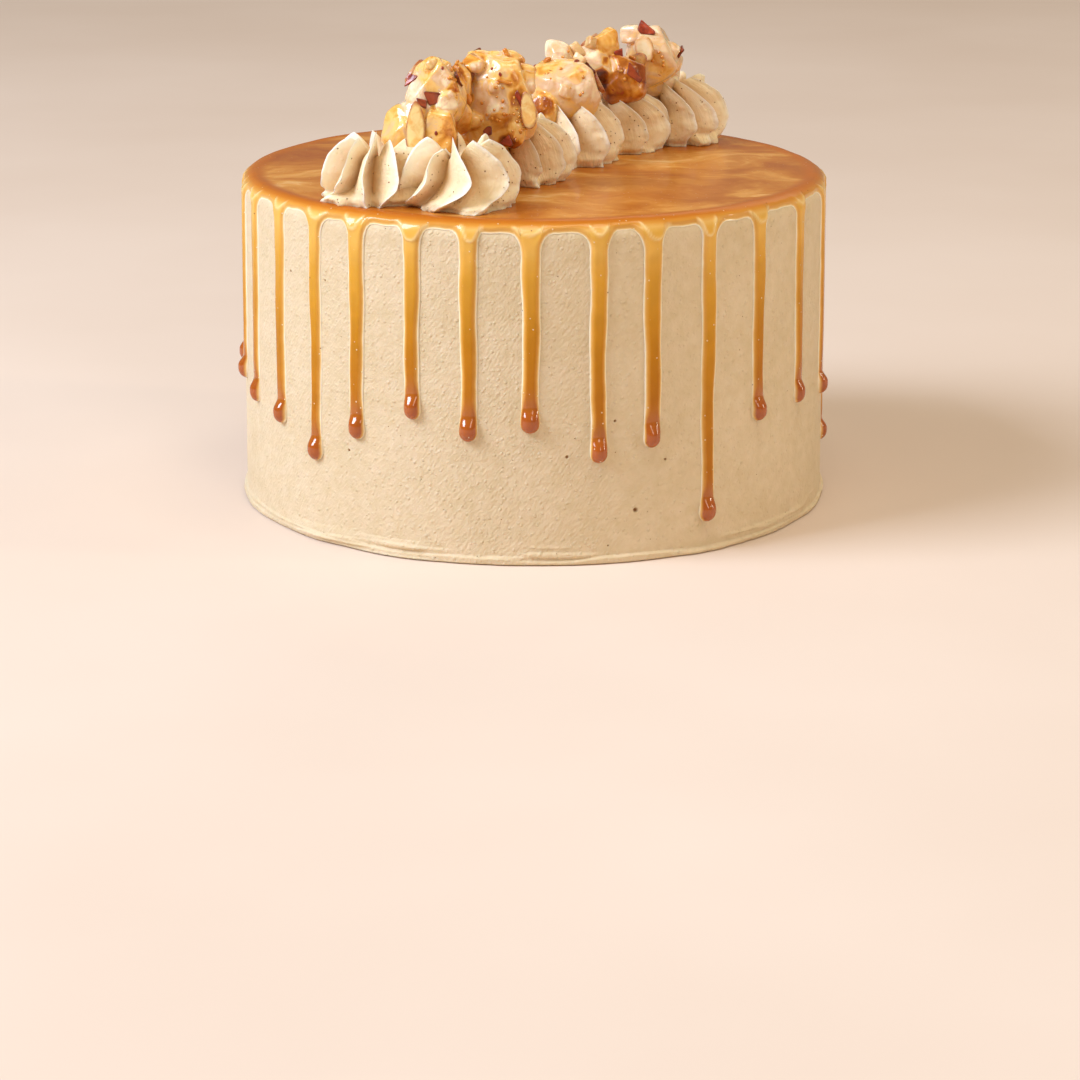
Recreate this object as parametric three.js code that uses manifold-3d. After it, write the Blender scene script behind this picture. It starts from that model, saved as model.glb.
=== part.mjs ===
// A round butterscotch drip cake: a frosted body, a poured glaze with drips, a diagonal row of piped
// swirls and a cluster of nut brittle on each of them.
// Millimetres, +Z up, front towards -Y. The origin is the centre of the cake's flat underside.

import * as THREE from 'three';
import { mergeVertices } from 'three/addons/utils/BufferGeometryUtils.js';
import Module from 'manifold-3d';

// ---------------------------------------------------------------- driving dimensions

const TURN = Math.PI * 2;
const GAP = 0.3; // clearance between pieces that rest on or press into each other

const CAKE = {
  footRadius: 93,
  radius: 92.2, // at the top of the side, which leans in a little
  height: 103,
  shoulder: 4.5, // rounding of the top edge
  foot: 0.8, // small chamfer at the bottom edge
  segments: 64,
};

const GLAZE = {
  thickness: 0.7,
  archReach: 4.9, // how far it runs over the shoulder between two drips, along the surface
  flareReach: 9.6, // the same at a drip
  flareWidth: 3.8,
  hiddenDrips: 13,
};
const GLAZE_TOP = CAKE.height + GAP + GLAZE.thickness;

// Drips that show from the front: azimuth in degrees to the right of the front, height of the tip.
const SEEN_DRIPS = [
  [-92, 40], [-80, 39], [-69, 35.5], [-57, 33], [-45.5, 25], [-35, 34.5], [-23, 43], [-12, 37.5],
  [-0.5, 40.5], [12, 31], [22.5, 34.5], [34.5, 9], [47.5, 37], [62, 38], [78, 35], [92, 14],
];
const DRIP = {
  lift: GAP + 0.12, // the flat back runs inside the glaze where the two join
  top: 98.6,
  neck: [[0, 3.6, 0.8], [-5, 2.6, 1.2]], // [height above the top, half width, how proud]
  bead: [[10, 2.4, 1.3], [4.4, 3.0, 2.4], [1.3, 2.2, 1.8]], // the same, above the tip
};

// Piped swirls. phase is the azimuth of one ridge at the widest height, sweep how far the ridges lean
// over below it, crater how deep the crown is open.
const SWIRLS = [
  { x: -46.5, y: -56, radius: 18.2, height: 19.5, phase: -30, sweep: 6, crater: 0.3 },
  { x: -22, y: -65, radius: 18.5, height: 20.5, phase: 5, sweep: 30, crater: 0.3 },
  { x: -5.5, y: -21, radius: 18.2, height: 20, phase: 18, sweep: 24, crater: 0.3 },
  { x: 10.5, y: 12, radius: 18.0, height: 21, phase: 12, sweep: 22, crater: 0.16 },
  { x: 27, y: 37, radius: 17.8, height: 19, phase: 30, sweep: 20, crater: 0.12 },
  { x: 45.5, y: 55, radius: 18.6, height: 21.5, phase: 20, sweep: 14, crater: 0.1 },
];
const RIDGES = 8;
const SWIRL_ROWS = 6;
const SWIRL_STEPS = [0, 0.12, 0.36, 0.64, 0.88]; // places across one ridge, from edge to edge

// Nut brittle: each cluster is lumps and cut nuts fused together. at is the centre, size the half
// sizes, turn the rotation in degrees about X, Y and Z, square how boxy it is (2 is an ellipsoid).
const CLUSTERS = [
  [
    { at: [-36, -50, 125.5], size: [9.6, 9, 9.5], turn: [0, 24, 10], square: 2.8 },
    { at: [-29, -48, 136], size: [8.8, 8, 9.6], turn: [0, 12, 0], square: 3.6 },
    { at: [-28, -56.5, 124.6], size: [5.8, 4.6, 6.8], turn: [0, 0, -12], square: 6 },
    { at: [-35.3, -59, 127.6], size: [1.9, 1.6, 7.6], turn: [0, 3, 20], square: 3 },
    { at: [-25.6, -54.5, 134], size: [3, 3, 3.4], turn: [10, 20, 15], square: 6 },
  ],
  [
    { at: [-14, -34, 113.5], size: [7.5, 6.5, 10.5], turn: [0, 0, -10], square: 2.8 },
    { at: [-11.6, -35.5, 131], size: [12.4, 9.5, 14.2], turn: [0, -4, 8], square: 4.5 },
    { at: [-1.2, -38, 129.5], size: [2.2, 3.8, 6.8], turn: [0, 8, 20], square: 3 },
    { at: [-8.5, -34, 143.4], size: [5, 3.8, 2.8], turn: [0, 18, 25], square: 4 },
  ],
  [
    { at: [10.5, 10, 128], size: [11.4, 10, 9.8], turn: [0, 12, 0], square: 2.7 },
    { at: [3, 3, 121.5], size: [4.4, 4.4, 5.5], turn: [0, 0, 0], square: 2.7 },
    { at: [8.2, 18, 138.6], size: [4.8, 3.6, 3.2], turn: [0, 8, 10], square: 5 },
  ],
  [
    { at: [28.5, 31, 127.8], size: [7.8, 7.5, 8], turn: [0, -10, 0], square: 2.8 },
    { at: [18, 28.5, 133], size: [5.8, 4.4, 4.8], turn: [0, 28, 12], square: 5 },
    { at: [23.5, 33, 138], size: [5, 4.6, 4.8], turn: [0, -24, 18], square: 4 },
  ],
  [
    { at: [40, 50, 125.2], size: [7.4, 6.8, 6], turn: [0, 0, 0], square: 2.6 },
    { at: [37.8, 47, 133.5], size: [8.4, 7.8, 9.2], turn: [0, -14, 10], square: 3.2 },
    { at: [36.3, 39.8, 135.2], size: [2.9, 1.5, 4.6], turn: [0, -12, 0], square: 2.6 },
    { at: [33, 46.5, 140.6], size: [5.4, 4.4, 3], turn: [0, -12, 10], square: 4 },
    { at: [45, 49, 134.4], size: [3.8, 3, 3.4], turn: [0, 25, 0], square: 5 },
  ],
];
const LUMP_AROUND = 11;
const LUMP_DOWN = 6;

// ---------------------------------------------------------------- solids from rings of points

const wasm = await Module();
wasm.setup();

const radians = (degrees) => (degrees * Math.PI) / 180;
const mix = (a, b, t) => a + (b - a) * t;
const smooth = (a, b, x) => {
  const t = Math.min(Math.max((x - a) / (b - a), 0), 1);
  return t * t * (3 - 2 * t);
};

// A closed skin over rings with equal numbers of points, each end drawn together in a pole.
function loft(startPole, rings, endPole) {
  const around = rings[0].length;
  const points = [startPole, ...rings.flat(), endPole];
  const last = points.length - 1;
  const at = (ring, k) => 1 + ring * around + (k % around);
  const faces = [];
  for (let k = 0; k < around; k++) {
    faces.push(0, at(0, k + 1), at(0, k));
    faces.push(last, at(rings.length - 1, k), at(rings.length - 1, k + 1));
    for (let ring = 0; ring + 1 < rings.length; ring++) {
      faces.push(at(ring, k), at(ring, k + 1), at(ring + 1, k + 1));
      faces.push(at(ring, k), at(ring + 1, k + 1), at(ring + 1, k));
    }
  }
  const geometry = new THREE.BufferGeometry();
  geometry.setAttribute('position', new THREE.Float32BufferAttribute(points.flatMap((p) => [...p]), 3));
  geometry.setIndex(faces);
  return geometry;
}

function toSolid(geometry) {
  const plain = geometry.clone();
  plain.deleteAttribute('normal');
  plain.deleteAttribute('uv');
  const merged = mergeVertices(plain, 1e-4);
  return new wasm.Manifold(new wasm.Mesh({
    numProp: 3,
    vertProperties: new Float32Array(merged.attributes.position.array),
    triVerts: new Uint32Array(merged.index.array),
  }));
}

// Back to a geometry. A scrap that a cut leaves loose is dropped: the largest body is kept.
function toGeometry(solid) {
  const bodies = solid.decompose().sort((a, b) => b.volume() - a.volume());
  const mesh = bodies[0].getMesh();
  const geometry = new THREE.BufferGeometry();
  geometry.setAttribute('position', new THREE.BufferAttribute(new Float32Array(mesh.vertProperties), 3));
  geometry.setIndex([...mesh.triVerts]);
  return geometry;
}

// ---------------------------------------------------------------- frosted body and glaze

// The side and top of the body as one line: reach 0 is where the flat top starts to round over, and
// it grows down the side. lift is the distance out from the body's own surface.
function onProfile(reach, lift) {
  const arc = (CAKE.shoulder * Math.PI) / 2;
  const inner = CAKE.radius - CAKE.shoulder;
  const centre = CAKE.height - CAKE.shoulder;
  if (reach > arc) {
    const z = centre - (reach - arc);
    return [wallRadius(z) + lift, z];
  }
  const angle = reach / CAKE.shoulder;
  const r = CAKE.shoulder + lift;
  return [inner + r * Math.sin(angle), centre + r * Math.cos(angle)];
}

function wallRadius(z) {
  return mix(CAKE.footRadius, CAKE.radius, z / (CAKE.height - CAKE.shoulder));
}

function polar(azimuth, r, z) {
  return new THREE.Vector3(r * Math.sin(azimuth), -r * Math.cos(azimuth), z);
}

function cakeBody() {
  const profile = [
    new THREE.Vector2(0, 0),
    new THREE.Vector2(CAKE.footRadius - CAKE.foot, 0),
    new THREE.Vector2(wallRadius(CAKE.foot), CAKE.foot),
  ];
  const arcSteps = 3;
  for (let k = arcSteps; k >= 0; k--) {
    const [r, z] = onProfile((k / arcSteps) * CAKE.shoulder * Math.PI / 2, 0);
    profile.push(new THREE.Vector2(r, z));
  }
  profile.push(new THREE.Vector2(0, CAKE.height));
  const geometry = new THREE.LatheGeometry(profile, CAKE.segments);
  geometry.rotateX(Math.PI / 2);
  return toGeometry(toSolid(geometry));
}

function allDrips() {
  const [lastSeen] = SEEN_DRIPS[SEEN_DRIPS.length - 1];
  const step = (360 + SEEN_DRIPS[0][0] - lastSeen) / (GLAZE.hiddenDrips + 1);
  const hidden = [];
  for (let k = 1; k <= GLAZE.hiddenDrips; k++) {
    const wander = 1.6 * Math.sin(2.4 * k);
    const tip = 33 + 8 * Math.sin(3.9 * k + 1) + (k === 6 ? -14 : 0);
    hidden.push([lastSeen + k * step + wander, tip]);
  }
  return [...SEEN_DRIPS, ...hidden].map(([azimuth, tip]) => ({ azimuth: radians(azimuth), tip }));
}

// The poured skin over the top: its lower border is an arch between two drips and a flare at each.
function glazeCap(drips) {
  const around = [];
  const sorted = drips.map((drip) => drip.azimuth).sort((a, b) => a - b);
  sorted.forEach((azimuth, k) => {
    const next = k + 1 < sorted.length ? sorted[k + 1] : sorted[0] + TURN;
    const half = GLAZE.flareWidth / CAKE.radius;
    const span = next - azimuth - 2 * half;
    around.push(azimuth, azimuth + half, azimuth + half + span / 2, next - half);
  });
  const between = (a, b) => Math.abs(Math.atan2(Math.sin(a - b), Math.cos(a - b)));
  const border = (azimuth) => {
    const away = Math.min(...sorted.map((drip) => between(azimuth, drip)));
    const flare = Math.exp(-(((away * CAKE.radius) / GLAZE.flareWidth) ** 2));
    return mix(GLAZE.archReach, GLAZE.flareReach, flare);
  };
  // Rings follow the rounded shoulder closely, the last but one at its foot and the last on the border.
  const arc = (CAKE.shoulder * Math.PI) / 2;
  const reaches = [
    () => 0,
    () => arc / 3,
    (edge) => Math.min(edge - 0.8, arc * 0.66),
    (edge) => Math.min(edge - 0.4, arc),
    (edge) => edge,
  ];
  const ring = (reach, lift) => around.map((azimuth) => {
    const [r, z] = onProfile(reach(border(azimuth)), lift);
    return polar(azimuth, r, z);
  });
  const outer = GAP + GLAZE.thickness;
  const under = new THREE.Vector3(0, 0, CAKE.height + GAP);
  const over = new THREE.Vector3(0, 0, CAKE.height + outer);
  const rings = reaches.map((reach) => ring(reach, GAP));
  rings.push(...[...reaches].reverse().map((reach) => ring(reach, outer)));
  return loft(under, rings, over);
}

// One drip on the wall: D-shaped sections that taper from the flare, then swell into the hanging bead.
function dripSolid({ azimuth, tip }) {
  const section = [[1, 0], [0.82, 0.58], [0.36, 0.94], [-0.36, 0.94], [-0.82, 0.58], [-1, 0]];
  const point = (across, out, z) => {
    const back = wallRadius(z) + DRIP.lift;
    return polar(azimuth + across / back, back + out, z);
  };
  const ring = (z, halfWidth, proud) => section.map(([across, out]) => (
    point(across * halfWidth, out * proud, z)
  ));
  const rings = [
    ...DRIP.neck.map(([height, halfWidth, proud]) => ring(DRIP.top + height, halfWidth, proud)),
    ...DRIP.bead.map(([height, halfWidth, proud]) => ring(tip + height, halfWidth, proud)),
  ];
  return loft(point(0, 0.4, DRIP.top + 0.1), rings, point(0, 0.4, tip));
}

function glazeWithDrips() {
  const drips = allDrips();
  const solid = drips.reduce((sum, drip) => sum.add(toSolid(dripSolid(drip))), toSolid(glazeCap(drips)));
  return toGeometry(solid);
}

// ---------------------------------------------------------------- piped swirls

// Outline of a swirl at height share v, from 0 at the base to 1 at the crown: [edge radius, height].
function swirlOutline({ radius, height }, v) {
  const rise = radians(70) * v;
  const tuck = 1 - 0.12 * Math.exp(-((v / 0.1) ** 2));
  return [radius * tuck * Math.cos(rise) ** 0.72, height * (Math.sin(rise) / Math.sin(radians(70)))];
}

// Sharp ridges with hollow flanks: 1 on a ridge's edge, 0 in the middle of the groove beside it.
function ridge(place) {
  return Math.abs(1 - 2 * place) ** 1.5;
}

function swirl(shape) {
  const { x, y, height, phase, sweep, crater } = shape;
  const row = (v, shrink, sink) => {
    const [edge, z] = swirlOutline(shape, v);
    const depth = mix(0.26, 0.5, smooth(0, 0.9, v));
    const notch = 4.5 * smooth(0.6, 1, v);
    const lean = radians(phase + sweep * (Math.sin(Math.PI * v ** 0.66) - 1) + 10 * v);
    const points = [];
    for (let k = 0; k < RIDGES; k++) {
      for (const place of SWIRL_STEPS) {
        const w = ridge(place);
        const r = edge * shrink * (1 - depth * (1 - w));
        const azimuth = lean + ((k + place) * TURN) / RIDGES;
        points.push(new THREE.Vector3(
          x + r * Math.sin(azimuth),
          y - r * Math.cos(azimuth),
          GLAZE_TOP + GAP + z - notch * (1 - w) - sink,
        ));
      }
    }
    return points;
  };
  const rings = [];
  for (let k = 0; k < SWIRL_ROWS; k++) rings.push(row(k / (SWIRL_ROWS - 1), 1, 0));
  rings.push(row(1, 0.55, crater * height * 0.5));
  const base = new THREE.Vector3(x, y, GLAZE_TOP + GAP);
  const middle = new THREE.Vector3(x, y, GLAZE_TOP + GAP + height * (1 - crater) - 3);
  return loft(base, rings, middle);
}

// A slab that stands on the line midway between two swirls and trims the first: where two swirls are
// piped against each other they meet on a flat seam.
function seam(first, second) {
  const gapX = second.x - first.x;
  const gapY = second.y - first.y;
  const away = (Math.hypot(gapX, gapY) * first.radius) / (first.radius + second.radius);
  const size = 80;
  const slab = new THREE.BoxGeometry(size, size, size);
  slab.translate(away - GAP / 2 + size / 2, 0, 0);
  slab.rotateZ(Math.atan2(gapY, gapX));
  slab.translate(first.x, first.y, GLAZE_TOP);
  return slab;
}

// ---------------------------------------------------------------- nut brittle

// A rounded lump: each direction is scaled to the superellipsoid of that squareness, then dented and
// swollen a little by slow waves, so that no two lumps are alike. grow adds an even skin.
function lump({ at, size, turn, square }, grow) {
  const geometry = mergeVertices(bare(new THREE.SphereGeometry(1, LUMP_AROUND, LUMP_DOWN)), 1e-4);
  const position = geometry.attributes.position;
  const rotation = new THREE.Matrix4().makeRotationFromEuler(new THREE.Euler(...turn.map(radians), 'ZYX'));
  const seed = at[0] * 0.7 + at[1] * 0.3;
  for (let k = 0; k < position.count; k++) {
    const d = new THREE.Vector3().fromBufferAttribute(position, k);
    const norm = [...d].reduce((sum, c) => sum + Math.abs(c) ** square, 0) ** (1 / square);
    const dent = 0.07 * Math.sin(3.1 * d.x + seed) * Math.cos(2.7 * d.z + seed);
    const wave = 1 + dent + 0.05 * Math.sin(4.3 * d.y - seed);
    const scale = size.map((half) => (half * wave) / norm + grow);
    const p = new THREE.Vector3(d.x * scale[0], d.y * scale[1], d.z * scale[2]).applyMatrix4(rotation);
    position.setXYZ(k, at[0] + p.x, at[1] + p.y, at[2] + p.z);
  }
  return geometry;
}

function bare(geometry) {
  geometry.deleteAttribute('normal');
  geometry.deleteAttribute('uv');
  return geometry;
}

// All the pieces of a cluster as one solid, flat where it lies on the glaze.
function cluster(pieces, grow = 0) {
  const floor = new THREE.BoxGeometry(CAKE.radius, CAKE.radius, CAKE.radius);
  floor.translate(pieces[0].at[0], pieces[0].at[1], GLAZE_TOP + GAP - CAKE.radius / 2);
  const joined = pieces.map((piece) => toSolid(lump(piece, grow))).reduce((sum, piece) => sum.add(piece));
  return joined.subtract(toSolid(floor));
}

// ---------------------------------------------------------------- the cake

const MATERIALS = {
  buttercream: { color: 0xe0c39c, roughness: 0.7, metalness: 0 },
  butterscotch: { color: 0xb8702e, roughness: 0.2, metalness: 0 },
  brittle: { color: 0xcf8f4a, roughness: 0.25, metalness: 0 },
};

const group = new THREE.Group();

function addNode(name, geometry, finish) {
  const mesh = new THREE.Mesh(geometry, new THREE.MeshStandardMaterial(MATERIALS[finish]));
  mesh.name = name;
  group.add(mesh);
}

addNode('cake', cakeBody(), 'buttercream');
addNode('glaze', glazeWithDrips(), 'butterscotch');

SWIRLS.forEach((shape, k) => {
  let solid = toSolid(swirl(shape));
  for (const other of [SWIRLS[k - 1], SWIRLS[k + 1]]) {
    if (other) solid = solid.subtract(toSolid(seam(shape, other)));
  }
  for (const pieces of CLUSTERS) solid = solid.subtract(cluster(pieces, GAP));
  addNode(`swirl_${k + 1}`, toGeometry(solid), 'buttercream');
});

CLUSTERS.forEach((pieces, k) => {
  let solid = cluster(pieces);
  for (const later of CLUSTERS.slice(k + 1)) solid = solid.subtract(cluster(later, GAP));
  addNode(`brittle_${k + 1}`, toGeometry(solid), 'brittle');
});

export default group;
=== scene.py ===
"""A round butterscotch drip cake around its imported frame.

The frosted body, the poured glaze with its drips, six piped swirls and five clusters of nut brittle are
worked out here as dense surfaces on the same dimensions as the solids that they stand for.
Lengths are millimetres until add_piece() turns them into metres. +Z is up and the front faces -Y.
Azimuths are measured from the front, to the right.
"""
import math
from itertools import product

import bpy
import numpy as np
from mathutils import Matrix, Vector
from mathutils.bvhtree import BVHTree


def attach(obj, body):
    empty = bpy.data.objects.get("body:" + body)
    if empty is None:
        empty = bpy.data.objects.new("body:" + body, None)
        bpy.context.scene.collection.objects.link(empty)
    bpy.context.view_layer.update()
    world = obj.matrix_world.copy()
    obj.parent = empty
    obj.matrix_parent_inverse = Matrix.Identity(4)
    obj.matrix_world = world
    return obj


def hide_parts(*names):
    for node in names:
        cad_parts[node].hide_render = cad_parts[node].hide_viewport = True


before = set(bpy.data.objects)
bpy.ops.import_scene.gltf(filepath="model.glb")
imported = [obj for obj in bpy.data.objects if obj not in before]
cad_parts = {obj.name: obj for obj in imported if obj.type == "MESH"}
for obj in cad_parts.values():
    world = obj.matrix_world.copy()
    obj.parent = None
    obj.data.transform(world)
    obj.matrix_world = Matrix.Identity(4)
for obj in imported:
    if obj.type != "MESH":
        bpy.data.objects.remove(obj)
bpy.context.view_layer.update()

rng = np.random.default_rng(7)          # shapes the arches of the glaze
TURN = 2 * math.pi
MM = 1000.0     # millimetres in a metre, and so the scale of a pattern with features a millimetre wide

# ---------------------------------------------------------------- dimensions, as in the solids

FOOT_RADIUS, TOP_RADIUS, HEIGHT, SHOULDER = 93.0, 92.2, 103.0, 4.5
ARC = SHOULDER * math.pi / 2          # length of the rounded top edge
BEND = HEIGHT - SHOULDER              # height where the wall starts to round over
INNER = TOP_RADIUS - SHOULDER         # radius where the flat top starts
GLAZE_TOP = 104.0
REST = GLAZE_TOP + 0.3                # the height that swirls and brittle rest at

# Azimuth of each drip in degrees and the height of its tip.
SEEN_DRIPS = [
    (-92, 40), (-80, 39), (-69, 35.5), (-57, 33), (-45.5, 25), (-35, 34.5), (-23, 43), (-12, 37.5),
    (-0.5, 40.5), (12, 31), (22.5, 34.5), (34.5, 9), (47.5, 37), (62, 38), (78, 35), (92, 14),
]
HIDDEN_DRIPS = 13

# Air bubbles that broke open in the frosting: azimuth, height, radius, depth.
PITS = [
    (-24.1, 64.0, 0.75, 0.9), (-37.1, 30.4, 0.5, 0.6), (19.3, 15.6, 0.85, 1.1), (15.2, 43.6, 0.5, 0.6),
    (25.3, 30.4, 0.5, 0.6), (6.2, 33.2, 0.6, 0.6), (14.0, 5.2, 0.35, 0.4), (-53.1, 81.8, 0.5, 0.6),
    (-42.8, 81.5, 0.35, 0.4), (151, 22.0, 0.7, 0.8), (213, 14.0, 0.8, 0.9),
]


# ---------------------------------------------------------------- arrays and meshes

def mix(a, b, t):
    """a where t is 0, b where t is 1, and a straight line between and beyond."""
    return a + (b - a) * t


def smooth(a, b, x):
    """0 below a, 1 above b, an S-curve between."""
    t = np.clip((x - a) / (b - a), 0, 1)
    return t * t * (3 - 2 * t)


def hashed(numbers):
    """Numbers from 0 to 1 that look random, the same ones each time for the same numbers."""
    numbers = numbers * 43758.5453
    return numbers - np.floor(numbers)


def noise(points, size, seed):
    """Value noise from -1 to 1. Each corner of a lattice with cells of that size holds a number hashed
    from its place, and a point takes the mix of its eight corners by the steps of a smooth curve."""
    place = np.asarray(points, float) / size + seed * 3.71
    cell = np.floor(place)
    part = place - cell
    part = part ** 3 * (part * (part * 6 - 15) + 10)
    total = np.zeros(place.shape[:-1])
    for corner in product((0, 1), repeat=3):
        at = cell + corner
        share = np.prod(np.where(np.array(corner) == 1, part, 1 - part), axis=-1)
        total += hashed(np.sin(at @ np.array([12.9898, 78.233, 37.719]) + seed)) * share
    return total * 2 - 1


def rough(points, size, seed, octaves):
    """Noise of that size plus finer octaves, each half as large and half as strong."""
    total = sum(noise(points, size / 2 ** k, seed + k) / 2 ** k for k in range(octaves))
    return total / (2 - 2 ** (1 - octaves))


def polar(azimuth, radius, z):
    """Points from azimuth in radians, radius and height."""
    return np.stack(np.broadcast_arrays(radius * np.sin(azimuth), -radius * np.cos(azimuth), z), -1)


def skin(rows, columns):
    """Quads of a grid of points that are listed row by row, with the last column joined to the first."""
    j, c = np.meshgrid(np.arange(rows - 1), np.arange(columns), indexing="ij")
    j, c, d = j.ravel(), c.ravel(), (c.ravel() + 1) % columns
    return np.stack([j * columns + c, j * columns + d, (j + 1) * columns + d, (j + 1) * columns + c], -1)


def caps(rows, columns, first, last):
    """Triangle fans that close the first and the last row of a wrapped grid on two pole points."""
    c = np.arange(columns)
    d = (c + 1) % columns
    top = np.stack([np.full(columns, first), d, c], -1)
    end = (rows - 1) * columns
    return np.concatenate([top, np.stack([np.full(columns, last), end + c, end + d], -1)])


def closed(grid, start, end):
    """A wrapped grid of points [row, column, 3] and its two poles: all points, then all faces."""
    rows, columns = grid.shape[:2]
    points = np.concatenate([grid.reshape(-1, 3), [start], [end]])
    count = rows * columns
    return points, [*skin(rows, columns).tolist(), *caps(rows, columns, count, count + 1).tolist()]


def with_poles(values):
    """A number or a pair for each point of a wrapped grid, and zeros for its two poles."""
    return np.concatenate([values.reshape(-1, *values.shape[2:]), np.zeros((2, *values.shape[2:]))])


def ball(rows, columns):
    """Directions over a ball, row by row from the top down and then its two poles, and its faces."""
    down = np.linspace(0, math.pi, rows + 2)[1:-1, None]
    along = np.linspace(0, TURN, columns, endpoint=False)[None]
    return closed(np.stack(np.broadcast_arrays(np.sin(down) * np.cos(along), np.sin(down) * np.sin(along),
                                               np.cos(down)), -1), (0, 0, 1), (0, 0, -1))


def bulge(u):
    """A quarter of a circle: 0 where u is 0, rising upright at first, and 1 from where it is 1."""
    return np.sqrt(1 - (1 - np.clip(u, 0, 1)) ** 2)


def quad_sides(quads):
    """The four sides of every quad, as pairs of points."""
    return np.concatenate([quads[:, [k, (k + 1) % 4]] for k in range(4)])


def volume(points, faces):
    """Signed volume inside the faces, each cut into a fan: it is negative when they face inwards."""
    total = 0.0
    for corners in {len(face) for face in faces}:
        f = np.array([face for face in faces if len(face) == corners])
        for k in range(1, corners - 1):
            a, b, c = points[f[:, 0]], points[f[:, k]], points[f[:, k + 1]]
            total += np.einsum("ij,ij->i", a, np.cross(b, c)).sum() / 6
    return total


def field(items, name, kind=float, width=1):
    """One field of all the items of a mesh as an array, with a row of that width for each item."""
    values = np.empty(len(items) * width, kind)
    items.foreach_get(name, values)
    return values.reshape(-1, width) if width > 1 else values


def put(name, data):
    """An object with that mesh, light or camera, in the scene."""
    made = bpy.data.objects.new(name, data)
    bpy.context.collection.objects.link(made)
    return made


def add_piece(name, points, faces, finish, stands_for, layers, uv=None):
    """A closed smooth piece, with points in millimetres, that rides on the root body. stands_for is the
    solid that it replaces or None, layers are numbers for each point, which the finish reads by name,
    and uv is a place in metres for each point."""
    if volume(points, faces) < 0:
        faces = [face[::-1] for face in faces]
    mesh = bpy.data.meshes.new(name)
    mesh.from_pydata((points / MM).tolist(), [], faces)
    mesh.polygons.foreach_set("use_smooth", np.ones(len(mesh.polygons), bool))
    for layer, values in layers.items():
        mesh.attributes.new(layer, "FLOAT", "POINT").data.foreach_set("value", np.asarray(values, np.float32))
    if uv is not None:
        corner = field(mesh.loops, "vertex_index", np.int32)
        mesh.uv_layers.new(name="surface").data.foreach_set("uv", np.asarray(uv, np.float32)[corner].ravel())
    mesh.materials.append(finish)
    mesh.update()
    piece = put(name, mesh)
    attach(piece, "root")
    if stands_for:
        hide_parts(stands_for)


# ---------------------------------------------------------------- finishes

def linear(code):
    """sRGB hex to the linear colour that shaders take."""
    parts = [int(code[k:k + 2], 16) / 255 for k in (0, 2, 4)]
    return (*[c / 12.92 if c <= 0.04045 else ((c + 0.055) / 1.055) ** 2.4 for c in parts], 1.0)


def in_use(sockets, key=None):
    """The first socket in use, or the first one in use of that name, or the one of that number."""
    if isinstance(key, int):
        return sockets[key]
    return next(socket for socket in sockets if socket.enabled and key in (None, socket.name))


def connect(tree, node, inputs):
    """Fills sockets of a node, each with a plain value or with a link from an output. A node given as a
    value stands for its first output in use."""
    for key, value in inputs.items():
        if isinstance(value, bpy.types.Node):
            value = in_use(value.outputs)
        if isinstance(value, bpy.types.NodeSocket):
            tree.links.new(value, in_use(node.inputs, key))
        else:
            in_use(node.inputs, key).default_value = value


def add_node(tree, kind, settings=None, inputs=None):
    """Adds a node. settings are its own fields, where stops are the colours of a ramp, and inputs are
    its sockets, as connect() takes them."""
    made = tree.nodes.new("ShaderNode" + kind)
    for field, value in (settings or {}).items():
        if field == "stops":
            ramp = made.color_ramp.elements
            for _ in value[2:]:
                ramp.new(0.5)
            for stop, (position, colour) in zip(ramp, value):
                stop.position, stop.color = position, linear(colour)
        else:
            setattr(made, field, value)
    connect(tree, made, inputs or {})
    return made


def new_finish(name):
    """A material with an empty tree but for its shader and output, and its tree and shader."""
    finish = bpy.data.materials.new(name)
    finish.use_nodes = True
    tree = finish.node_tree
    return finish, tree, tree.nodes["Principled BSDF"]


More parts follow.
